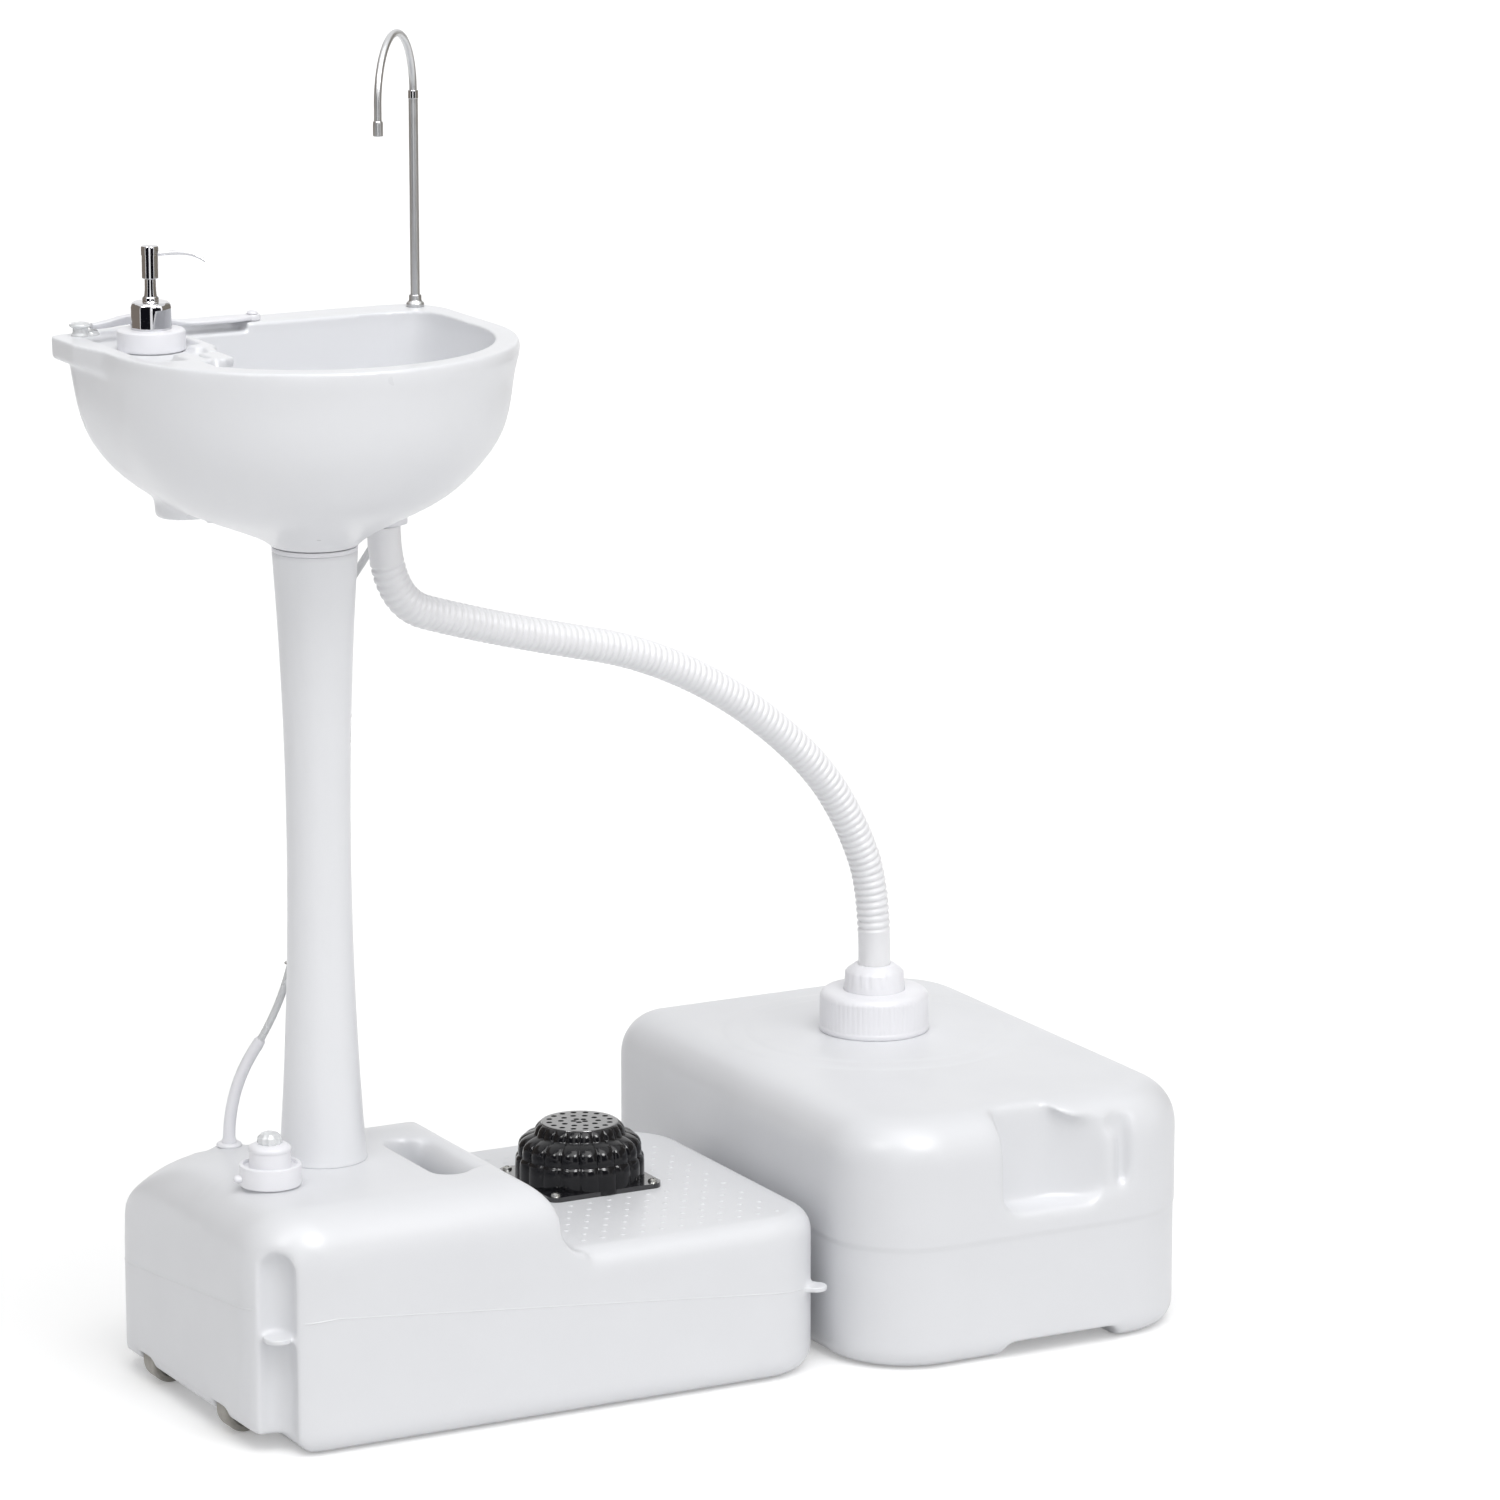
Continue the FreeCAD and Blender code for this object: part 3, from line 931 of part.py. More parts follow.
waste = waste_form(0.0).cut([hand_hold(0.0), arch_channel(0.0)])
waste = waste.cut(waste_form(WALL).cut([hand_hold(WALL), arch_channel(WALL)]))
roll_at = V(HAND_X1 + ROLL_R - 1, WASTE_Y0 + ROLL_R + 1.5, HAND_Z0 + 16)
roll_h = WASTE_H - 34 - roll_at.z
roll = Part.makeCylinder(ROLL_R, roll_h, roll_at)
roll = roll.fuse([Part.makeSphere(ROLL_R, roll_at), Part.makeSphere(ROLL_R, roll_at + Z * roll_h)])
waste = waste.fuse([roll, cyl(CAP_X, CAP_Y, WASTE_H - 2, WASTE_H + 1.2, 122.0),
                    cyl(CAP_X, CAP_Y, WASTE_H - 2, NECK_TOP, NECK_OUT)])
waste = waste.cut(cyl(CAP_X, CAP_Y, WASTE_H - 20, NECK_TOP + 1, NECK_BORE))
put("waste_tank", waste)
put("waste_seal", ring(CAP_X, CAP_Y, NECK_TOP, NECK_TOP + 2, NECK_OUT - 0.5, NECK_BORE + 0.5))
SLIP_Z = NECK_TOP + 6
collar = revolve([(HOSE_BORE, NECK_TOP - 8), (HOSE_BORE, COLLAR_TOP), (HOSE_R + 4, COLLAR_TOP),
                  (COLLAR_R - 3, COLLAR_TOP - 3), (COLLAR_R, COLLAR_TOP - 8), (COLLAR_R, SLIP_Z),
                  (NECK_OUT - 1, SLIP_Z), (NECK_OUT - 1, NECK_TOP + 2), (NECK_BORE - 3, NECK_TOP + 2),
                  (NECK_BORE - 3, NECK_TOP - 4), (HOSE_BORE + 3, NECK_TOP - 8)], CAP_X, CAP_Y)
put("hose_collar", collar)
put("waste_slip_ring", ring(CAP_X, CAP_Y, SLIP_Z, SLIP_Z + 1.5, NECK_OUT - 1.5, COLLAR_R + GAP))
cap_in = SLIP_Z + 1.5
big = revolve([(COLLAR_R + GAP, cap_in), (NECK_OUT + SEAT, cap_in), (NECK_OUT + SEAT, CAP_Z0),
               (CAP_R - 0.8, CAP_Z0), (CAP_R, CAP_Z0 + 1.5), (CAP_R, CAP_TOP - 4), (CAP_R - 3, CAP_TOP),
               (COLLAR_R + GAP, CAP_TOP)], CAP_X, CAP_Y)
flutes = []
for i in range(CAP_FLUTES):
    a = 2 * math.pi * i / CAP_FLUTES
    flutes.append(cyl(CAP_X + (CAP_R + 1.4) * math.cos(a), CAP_Y + (CAP_R + 1.4) * math.sin(a),
                      CAP_Z0 + 4, CAP_TOP + 5, 2.4))
put("waste_cap", big.cut(flutes))
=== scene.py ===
"""Looks of a portable camping sink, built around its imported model.

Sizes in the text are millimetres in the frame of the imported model: X along the fresh tank towards the
waste tank, Y to the back, Z up, with the origin on the floor under the pedestal's axis.
"""
import json
import math

import bmesh
import bpy
import numpy as np
from mathutils import Matrix, Vector


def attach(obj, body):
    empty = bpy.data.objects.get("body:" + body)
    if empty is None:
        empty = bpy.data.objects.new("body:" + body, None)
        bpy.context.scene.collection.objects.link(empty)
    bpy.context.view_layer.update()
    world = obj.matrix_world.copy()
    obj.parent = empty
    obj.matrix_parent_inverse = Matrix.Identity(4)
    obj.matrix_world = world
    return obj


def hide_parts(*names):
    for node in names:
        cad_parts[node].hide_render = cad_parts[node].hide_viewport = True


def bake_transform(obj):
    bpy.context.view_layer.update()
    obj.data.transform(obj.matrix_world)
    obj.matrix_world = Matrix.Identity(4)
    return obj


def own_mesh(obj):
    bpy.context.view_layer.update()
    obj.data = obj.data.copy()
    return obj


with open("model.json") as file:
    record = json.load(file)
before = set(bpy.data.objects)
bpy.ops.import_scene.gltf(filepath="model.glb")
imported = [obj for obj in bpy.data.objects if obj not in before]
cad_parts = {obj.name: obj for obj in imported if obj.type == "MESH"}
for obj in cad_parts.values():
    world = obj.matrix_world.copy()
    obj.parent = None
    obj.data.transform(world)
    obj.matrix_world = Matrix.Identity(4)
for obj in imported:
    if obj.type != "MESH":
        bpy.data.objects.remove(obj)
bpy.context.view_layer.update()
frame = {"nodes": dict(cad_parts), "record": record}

bl_info = {
    "name": "Portable camping sink",
    "version": (1, 0, 0),
    "blender": (4, 5, 0),
    "location": "3D View > Sidebar > Camping sink",
    "description": "Builds the visible pieces of a portable camping sink around its packed model",
    "category": "Object",
}

MM = 0.001
NODES = frame["nodes"]

# Places shared by several pieces
DECK = 188.0
LOW_DECK = 130.0
PUMP = (237.0, 28.0)
FILLER = (-68.0, -51.0)
PORT = (-50.0, 66.0)
SOAP = (-112.0, 45.0)
FAUCET = (137.0, 105.0)
DRAIN = (68.0, 21.0)
CAP = (540.0, 90.0)
TOWEL = (-4.0, 100.0)
TOWEL_TIP = (-138.0, 97.0)
RIM = 830.0
NECK_TOP = 997.0
LUG_CORNERS = ((-103.9, -136.9), (353.9, -136.9))
SCREW_REACH = 43.0
WHEEL_SPOTS = ((-100.0, -61.0, 18.0), (-100.0, 79.0, 18.0))

# Camera: its place in metres and the direction from the sink back to it
VIEW_FROM = (-2.1853, -4.7567, 1.6887)
VIEW_BACK = (-0.4625, -0.8590, 0.2198)


def linear(code):
    """Turns an sRGB hex colour into linear red, green, blue and alpha."""
    channels = [int(code[i:i + 2], 16) / 255 for i in (1, 3, 5)]
    return tuple(c / 12.92 if c <= 0.04045 else ((c + 0.055) / 1.055) ** 2.4 for c in channels) + (1.0,)


def colour(label, text, code):
    """Colour setting with an sRGB hex default."""
    return bpy.props.FloatVectorProperty(name=label, description=text, subtype="COLOR", size=4, min=0.0,
                                         max=1.0, default=linear(code))


def length(label, text, mm):
    """Length setting with a default in millimetres."""
    return bpy.props.FloatProperty(name=label, description=text, unit="LENGTH", subtype="DISTANCE", min=0.0,
                                   precision=5, default=mm * MM)


class SinkColours(bpy.types.PropertyGroup):
    """Colours of the sink's materials."""
    tank: colour("Tanks", "Blow-moulded polyethylene of both tanks", "#E1E2E5")
    basin: colour("Basin", "Polyethylene of basin and pedestal", "#EAEBEE")
    fittings: colour("Caps and fittings", "Injection-moulded white fittings", "#EDEDF1")
    hose: colour("Drain hose", "Milky corrugated hose", "#EEEEF0")
    rubber: colour("Pump rubber", "Black rubber of the foot pump", "#0E0E11")
    wheels: colour("Wheels", "Pale wheels under the left end", "#B7B4AE")


class SinkSizes(bpy.types.PropertyGroup):
    """Sizes of the moulded and formed details."""
    tank_grain: length("Tank skin", "Mesh size of the moulded tank walls", 2.2)
    basin_grain: length("Basin skin", "Mesh size of the moulded basin wall", 1.5)
    rib_pitch: length("Hose rib pitch", "Distance between ribs of the drain hose", 6.0)
    rib_crest: length("Hose crest radius", "Outer radius of the drain hose", 13.5)
    rib_valley: length("Hose valley radius", "Radius between the ribs of the drain hose", 12.1)
    stud_pitch: length("Stud pitch", "Distance between the grip studs of the lower deck", 17.0)
    bead: length("Parting bead", "Width of the mould's parting bead", 1.8)
    lobes: bpy.props.IntProperty(name="Bellows lobes", description="Lobes round the foot pump's bellows",
                                 default=20, min=8, max=40)
    cap_ribs: bpy.props.IntProperty(name="Cap ribs", description="Grip ribs round the waste cap",
                                    default=64, min=16, max=120)


# Materials

WAVE_SIZE = 70.0


def empty_tree(owner):
    """Cleared node tree of a material or world."""
    owner.use_nodes = True
    owner.node_tree.nodes.clear()
    return owner.node_tree


def add(tree, kind, inputs=None, **settings):
    """Adds a node with its settings, and sets or links its inputs."""
    node = tree.nodes.new(kind)
    for key, value in settings.items():
        setattr(node, key, value)
    for key, value in (inputs or {}).items():
        if isinstance(value, bpy.types.NodeSocket):
            tree.links.new(value, node.inputs[key])
        else:
            node.inputs[key].default_value = value
    return node


def per_mm(size):
    """Pattern scale for features of a size in millimetres, in the metres of object coordinates."""
    return 1.0 / (size * MM)


def surface(name, base, tint, rough, patch, grain, depth, wave=0.0, **shader):
    """Material with patchy tint and gloss, a fine grain and, for thin walls, a slow waviness.

    base and tint are linear colours; patch and grain are feature sizes, depth and wave are heights, all in
    millimetres.
    """
    material = bpy.data.materials.new(name)
    tree = empty_tree(material)
    place = add(tree, "ShaderNodeTexCoord").outputs["Object"]

    def noise(size, detail):
        inputs = {"Vector": place, "Scale": per_mm(size), "Detail": detail}
        return add(tree, "ShaderNodeTexNoise", inputs).outputs["Fac"]

    cloud = noise(patch, 4.0)
    shade = add(tree, "ShaderNodeMix", {"Factor": cloud, 6: base, 7: tint}, data_type="RGBA")
    gloss = add(tree, "ShaderNodeMapRange", {"Value": cloud, "From Min": 0.3, "From Max": 0.7,
                                             "To Min": rough * 0.88, "To Max": rough * 1.12})
    relief = add(tree, "ShaderNodeBump", {"Height": noise(grain, 2.0), "Strength": 1.0,
                                          "Distance": depth * MM})
    if wave:
        relief = add(tree, "ShaderNodeBump", {"Height": noise(WAVE_SIZE, 0.0), "Strength": 1.0,
                                              "Distance": wave * MM, "Normal": relief.outputs["Normal"]})
    body = add(tree, "ShaderNodeBsdfPrincipled", {"Base Color": shade.outputs[2],
                                                  "Roughness": gloss.outputs["Result"],
                                                  "Normal": relief.outputs["Normal"]})
    for key, value in shader.items():
        body.inputs[key.replace("_", " ")].default_value = value
    add(tree, "ShaderNodeOutputMaterial", {"Surface": body.outputs["BSDF"]})
    return material


def tinted(rgba, factor):
    """A linear colour made a little darker or lighter."""
    return tuple(min(1.0, c * factor) for c in rgba[:3]) + (1.0,)


FINISH = {}


def make_finishes(colours):
    """One material for each slot of the record, named for what it is and how its surface was made."""
    tank, basin, white = tuple(colours.tank), tuple(colours.basin), tuple(colours.fittings)
    hose, rubber, wheel = tuple(colours.hose), tuple(colours.rubber), tuple(colours.wheels)
    # Polyethylene from a sand-blasted blow mould: satin, soft wide highlights, faint orange peel, uneven wall
    FINISH["tank_plastic"] = surface(
        "polyethylene_blow_moulded", tank, tinted(tank, 0.965), 0.34, 60.0, 1.6, 0.045, wave=0.9, IOR=1.51,
        Specular_IOR_Level=0.5)
    # The same resin in a smoother mould: basin and pedestal have a slightly closer gloss
    FINISH["basin_plastic"] = surface(
        "polyethylene_smooth_moulded", basin, tinted(basin, 0.97), 0.31, 80.0, 1.4, 0.03, wave=0.5, IOR=1.51)
    # Polypropylene from an injection mould: whiter, tighter gloss, light glows into its edges
    FINISH["cap_plastic"] = surface(
        "polypropylene_injection_moulded", white, tinted(white, 0.975), 0.33, 25.0, 0.9, 0.02, IOR=1.49,
        Subsurface_Weight=0.15, Subsurface_Radius=(0.004, 0.004, 0.004), Subsurface_Scale=0.5)
    # Corrugated polyethylene, thin and milky: light passes the wall, so its shadows stay pale
    FINISH["hose_white"] = surface(
        "polyethylene_corrugated_milky", hose, tinted(hose, 0.98), 0.34, 30.0, 1.0, 0.02, IOR=1.51,
        Subsurface_Weight=0.35, Subsurface_Radius=(0.006, 0.006, 0.006), Subsurface_Scale=0.6)
    # Soft PVC tube, extruded: whitish and half clear
    FINISH["hose_clear"] = surface(
        "pvc_extruded_translucent", linear("#ECEDEE"), linear("#E2E4E6"), 0.28, 20.0, 1.2, 0.02, IOR=1.53,
        Transmission_Weight=0.25)
    # Polycarbonate, clear and polished, with the faint haze of a small moulding
    FINISH["clear_plastic"] = surface(
        "polycarbonate_polished_clear", linear("#F4F5F6"), linear("#ECEEF0"), 0.12, 8.0, 1.5, 0.02, IOR=1.585,
        Transmission_Weight=0.35)
    # Brass under bright chromium plate: mirror with the slightest haze
    FINISH["chrome"] = surface(
        "chromium_plated_polished", linear("#DADADC"), linear("#CFCFD3"), 0.055, 12.0, 2.0, 0.004,
        Metallic=1.0)
    # Drawn stainless tube, satin: soft grey bands along the tube, no sharp mirror image
    FINISH["stainless"] = surface(
        "stainless_steel_drawn", linear("#D6D7D8"), linear("#C6C7C9"), 0.34, 10.0, 0.8, 0.004, Metallic=1.0)
    # Zinc-plated wire and screws: dull grey shine with patchy passivation
    FINISH["steel"] = surface(
        "steel_zinc_plated", linear("#C2C3C4"), linear("#A9A79F"), 0.28, 3.0, 0.6, 0.008, Metallic=1.0)
    # Rubber pressed in a polished mould: deep black with tight highlights on every lobe
    FINISH["black_rubber"] = surface(
        "rubber_moulded_black", rubber, tinted(rubber, 1.6), 0.16, 9.0, 0.7, 0.003, Specular_IOR_Level=0.35)
    # Black polypropylene from a polished mould: the tread turns pale grey where light grazes it
    FINISH["black_plastic"] = surface(
        "polypropylene_moulded_black", linear("#17171A"), linear("#202024"), 0.20, 6.0, 0.6, 0.006,
        Coat_Weight=0.9, Coat_Roughness=0.16)
    # Natural polyethylene bottle: milky, with a dull waxy shine
    FINISH["bottle_plastic"] = surface(
        "polyethylene_bottle_natural", linear("#E9EAEC"), linear("#E0E2E4"), 0.38, 20.0, 1.2, 0.02, IOR=1.51)
    # Soft grey seal rubber, matt
    FINISH["seal_rubber"] = surface(
        "rubber_moulded_grey", linear("#8C8D90"), linear("#7C7D80"), 0.6, 6.0, 0.8, 0.02)
    # Pale wheel plastic, scuffed dull and brownish by the floor
    FINISH["wheel_plastic"] = surface(
        "polypropylene_scuffed_pale", wheel, linear("#8E8A82"), 0.52, 7.0, 0.9, 0.05)


# Mesh making


def placed(name, data):
    """New object of a mesh, curve, lamp or camera, in the scene."""
    obj = bpy.data.objects.new(name, data)
    bpy.context.scene.collection.objects.link(obj)
    return obj


def piece(name, mesh, slot, body, *nodes):
    """New object of a mesh: takes a slot's finish, rides on a body and stands for CAD nodes."""
    obj = placed(name, mesh)
    mesh.materials.clear()
    mesh.materials.append(FINISH[slot])
    if body:
        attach(obj, body)
    if nodes:
        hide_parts(*nodes)
    return obj


def solid(name, verts, faces, sharp=40.0):
    """Mesh from points in millimetres, smooth shaded below the sharp angle."""
    mesh = bpy.data.meshes.new(name)
    mesh.from_pydata([tuple(c * MM for c in v) for v in verts], [], faces)
    shaped = bmesh.new()
    shaped.from_mesh(mesh)
    bmesh.ops.recalc_face_normals(shaped, faces=shaped.faces)
    shaped.to_mesh(mesh)
    shaped.free()
    mesh.shade_smooth()
    mesh.set_sharp_from_angle(angle=math.radians(sharp))
    return mesh


def soft_edges(obj, width, segments=3, angle=35.0):
    """Rounds a piece's hard edges."""
    bevel = obj.modifiers.new("Rounded edges", "BEVEL")
    bevel.width = width * MM
    bevel.segments = segments
    bevel.limit_method = "ANGLE"
    bevel.angle_limit = math.radians(angle)
    bevel.harden_normals = True


def true_shading(obj):
    """Lets a piece's large faces set its shading, so that mirrors stay straight beside small edges."""
    even = obj.modifiers.new("Even shading", "WEIGHTED_NORMAL")
    even.keep_sharp = True
    even.weight = 80


def turned(name, profile, centre, steps=96, ripple=None, closed=False, sharp=40.0):
    """Body turned about an upright axis from (radius, height); ripple(row, angle) adds to the radius."""
    verts = []
    rows = []
    for row, (r, z) in enumerate(profile):
        if r == 0.0:
            rows.append([len(verts)] * steps)
            verts.append((centre[0], centre[1], z))
            continue
        rows.append(list(range(len(verts), len(verts) + steps)))
        for i in range(steps):
            a = 2 * math.pi * i / steps
            rr = r + (ripple(row, a) if ripple else 0.0)
            verts.append((centre[0] + rr * math.cos(a), centre[1] + rr * math.sin(a), z))
    faces = []
    pairs = list(zip(rows, rows[1:])) + ([(rows[-1], rows[0])] if closed else [])
    for low, high in pairs:
        for i in range(steps):
            j = (i + 1) % steps
            ring = [low[i], low[j], high[j], high[i]]
            faces.append(tuple(dict.fromkeys(ring)))
    if not closed:
        for end in (rows[0], rows[-1]):
            if end[0] != end[1]:
                faces.append(tuple(end))
    return solid(name, verts, faces, sharp)


def turned_piece(name, profile, centre, slot, body, node, **shape):
    """Turned piece that stands for a CAD node."""
    return piece(name, turned(name, profile, centre, **shape), slot, body, node)


def ring_faces(rings, sides):
    """Faces of a run of rings of points, closed at both ends."""
    faces = [tuple(range(sides)), tuple(range((rings - 1) * sides, rings * sides))]
    for k in range(0, (rings - 1) * sides, sides):
        for i in range(sides):
            j = (i + 1) % sides
            faces.append((k + i, k + j, k + sides + j, k + sides + i))
    return faces


def prism(name, plan, low, high):
    """Upright block over an outline."""
    return solid(name, [(x, y, z) for z in (low, high) for x, y in plan], ring_faces(2, len(plan)))


def bar(name, points, radii, sides=16, flat=1.0, sharp=40.0):
    """Round bar along points in millimetres, with a radius for each point; flat squeezes it upright."""
    points = np.asarray(points, float)
    count = len(points)
    radii = np.broadcast_to(np.asarray(radii, float), (count,))
    ahead = np.roll(points, -1, 0) - np.roll(points, 1, 0)
    ahead[0] = points[1] - points[0]
    ahead[-1] = points[-1] - points[-2]
    ahead /= np.linalg.norm(ahead, axis=1)[:, None]
    side = np.cross(ahead[0], (0.0, 0.0, 1.0))
    if np.linalg.norm(side) < 0.2:
        side = np.cross(ahead[0], (0.0, 1.0, 0.0))
    verts = []
    for k in range(count):
        side = side - ahead[k] * np.dot(side, ahead[k])
        side /= np.linalg.norm(side)
        up = np.cross(side, ahead[k])
        for i in range(sides):
            a = 2 * math.pi * i / sides
            verts.append(points[k] + radii[k] * (side * math.cos(a) + up * math.sin(a) * flat))
    return solid(name, verts, ring_faces(count, sides), sharp)


def coil(name, centre, radius, low, rise, turns, wire, steps, sides):
    """Upright spring of round wire; low is the middle of its first turn's wire, rise its height."""
    count = turns * steps
    points = []
    for i in range(count + 1):
        a = 2 * math.pi * i / steps
        x, y = centre[0] + radius * math.cos(a), centre[1] + radius * math.sin(a)
        points.append((x, y, low + rise * i / count))
    return bar(name, points, wire, sides)


def joined(name, *meshes):
    """One mesh out of several."""
    shaped = bmesh.new()
    for mesh in meshes:
        shaped.from_mesh(mesh)
    out = bpy.data.meshes.new(name)
    shaped.to_mesh(out)
    shaped.free()
    return out


def moulded_skin(name, node, plugs, extras, grain, passes, soft_spots):
    """Outer wall of a CAD node as a mould gives it: openings plugged, remeshed, edges relaxed.

    plugs are upright cylinders (x, y, radius, z0, z1); extras are meshes grown into the wall; soft_spots are
    boxes (x0, x1, y0, y1, z0, z1, passes) where the edges are rounder.
    """
    shaped = bmesh.new()
    shaped.from_mesh(NODES[node].data)
    for x, y, r, z0, z1 in plugs:
        spot = Matrix.Translation(Vector((x, y, (z0 + z1) / 2)) * MM)
        bmesh.ops.create_cone(shaped, cap_ends=True, segments=48, radius1=r * MM, radius2=r * MM,
                              depth=(z1 - z0) * MM, matrix=spot)
    for mesh in extras:
        shaped.from_mesh(mesh)
    mesh = bpy.data.meshes.new(name)
    shaped.to_mesh(mesh)
    shaped.free()
    form = placed(name + "_form", mesh)
    skin = form.modifiers.new("Skin", "REMESH")
    skin.mode = "VOXEL"
    skin.voxel_size = grain
    out = bpy.data.meshes.new_from_object(form.evaluated_get(bpy.context.evaluated_depsgraph_get()))
    out.name = name
    bpy.data.objects.remove(form)
    relax(out, passes)
    for x0, x1, y0, y1, z0, z1, more in soft_spots:
        relax(out, more, np.array(((x0, y0, z0), (x1, y1, z1))) * MM)
    out.shade_smooth()
    return out


def points_of(mesh):
    """A mesh's points, in metres."""
    flat = np.empty(len(mesh.vertices) * 3)
    mesh.vertices.foreach_get("co", flat)
    return flat.reshape(-1, 3)


def normals_of(mesh):
    """The directions in which a mesh's points face."""
    flat = np.empty(len(mesh.vertices) * 3)
    mesh.vertices.foreach_get("normal", flat)
    return flat.reshape(-1, 3)


def move_points(mesh, points):
    """Puts a mesh's points in new places, in metres."""
    mesh.vertices.foreach_set("co", points.ravel())
    mesh.update()


def relax(mesh, passes, within=None):
    """Draws each point halfway to the mean of its neighbours, in a box or everywhere."""
    points = points_of(mesh)
    count = len(points)
    pairs = np.empty(len(mesh.edges) * 2, dtype=np.int64)
    mesh.edges.foreach_get("vertices", pairs)
    pairs = pairs.reshape(-1, 2)
    share = np.full(count, 0.5)
    if within is not None:
        share *= np.all((points > within[0]) & (points < within[1]), axis=1)
        near = share[pairs].any(axis=1)
        pairs = pairs[near]
    here, there = np.concatenate([pairs, pairs[:, ::-1]]).T
    number = np.maximum(np.bincount(here, minlength=count), 1)
    for _ in range(passes):
        for axis in range(3):
            mean = np.bincount(here, points[there, axis], count) / number
            points[:, axis] += share * (mean - points[:, axis])
    move_points(mesh, points)


def parting_step(mesh, height, depth, slope=2.4):
    """Draws a moulded wall in by a small step below its parting line; slope is the height of the step."""
    points = points_of(mesh)
    normals = normals_of(mesh)
    below = np.clip((height - points[:, 2] / MM) / slope + 0.5, 0.0, 1.0)
    upright = np.clip(1.0 - abs(normals[:, 2]) * 1.5, 0.0, 1.0)
    points -= normals * (below * upright * depth * MM)[:, None]
    move_points(mesh, points)


def raised_disc(mesh, centre, radius, rise, slope=4.0):
    """Lifts a low disc out of a tank's level top; slope is the width of its edge."""
    points = points_of(mesh)
    level = np.clip((normals_of(mesh)[:, 2] - 0.8) * 10.0, 0.0, 1.0)
    away = np.hypot(points[:, 0] / MM - centre[0], points[:, 1] / MM - centre[1])
    inside = np.clip((radius - away) / slope + 0.5, 0.0, 1.0)
    points[:, 2] += level * inside * rise * MM
    move_points(mesh, points)


def run_of(points):
    """Distance of each point from the start of a line of points."""
    return np.concatenate([[0], np.cumsum(np.linalg.norm(np.diff(points, axis=0), axis=1))])


def along(points, distances):
    """Points at distances along a line of points."""
    run = run_of(points)
    return np.stack([np.interp(distances, run, row) for row in points.T], 1)


def rounded_outline(x0, x1, y0, y1, r, step):
    """Points round a rectangle with round corners, anticlockwise from the middle of its front side."""
    points = []
    corners = ((x1 - r, y0 + r, -90), (x1 - r, y1 - r, 0), (x0 + r, y1 - r, 90), (x0 + r, y0 + r, 180))
    for cx, cy, start in corners:
        for i in range(25):
            a = math.radians(start + 90 * i / 24)
            points.append((cx + r * math.cos(a), cy + r * math.sin(a)))
    points.append(points[0])
    line = np.array(points)
    return along(line, np.arange(0, run_of(line)[-1], step))


# Cords


def route(name, points):
    """Smooth NURBS line with the route's points, in millimetres, as its control points."""
    data = bpy.data.curves.new(name, "CURVE")
    data.dimensions = "3D"
    data.resolution_u = 24
    line = data.splines.new("NURBS")
    line.points.add(len(points) - 1)
    for spot, (x, y, z) in zip(line.points, points):
        spot.co = (x * MM, y * MM, z * MM, 1.0)
    line.order_u = 3
    line.use_endpoint_u = True
    return placed(name, data)


def route_points(obj):
    """Points of a route's NURBS line, in millimetres."""
    bpy.context.view_layer.update()
    line = bpy.data.meshes.new_from_object(obj)
    points = np.array([v.co[:] for v in line.vertices]) / MM
    bpy.data.meshes.remove(line)
    return points


class SINK_OT_drain_hose(bpy.types.Operator):
    """Ribbed drain hose from the basin to the waste tank"""
    bl_idname = "sink.drain_hose"
    bl_label = "Drain hose"

    def execute(self, context):
        sizes = context.scene.sink_sizes
        reach = math.hypot(CAP[0] - DRAIN[0], CAP[1] - DRAIN[1])
        way = ((CAP[0] - DRAIN[0]) / reach, (CAP[1] - DRAIN[1]) / reach)
        run = [(0, 677), (0, 617), (75, 592), (154, 570), (244, 547), (334, 501), (414, 436), (454, 378),
               (reach, 318), (reach, 257)]
        line = route("drain_route", [(DRAIN[0] + way[0] * s, DRAIN[1] + way[1] * s, z) for s, z in run])
        points = route_points(line)
        bpy.data.objects.remove(line)
        total = run_of(points)[-1]
        pitch, crest, valley = sizes.rib_pitch / MM, sizes.rib_crest / MM, sizes.rib_valley / MM
        plain = crest - 0.4
        cuff = 2 * crest
        ribs = int((total - 2 * cuff) / pitch)
        cuff = (total - ribs * pitch) / 2
        shape = ((0.0, 1.0), (0.08, 1.0), (0.18, 0.93), (0.27, 0.45), (0.34, 0.08), (0.42, 0.0), (0.52, 0.0),
                 (0.60, 0.08), (0.68, 0.45), (0.78, 0.93), (0.90, 1.0))
        stations = [(s, plain) for s in (0.0, cuff * 0.5, cuff - 1.5)]
        for i in range(ribs):
            stations += [(cuff + (i + s) * pitch, valley + (crest - valley) * high) for s, high in shape]
        stations += [(s, plain) for s in (total - cuff + 1.0, total - cuff * 0.5, total)]
        spots = along(points, [s for s, _ in stations])
        mesh = bar("drain_hose_ribbed", spots, [r for _, r in stations], sides=40, sharp=75.0)
        hose = piece("drain_hose_ribbed", mesh, "hose_white", None, "drain_hose")
        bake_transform(hose)
        return {"FINISHED"}


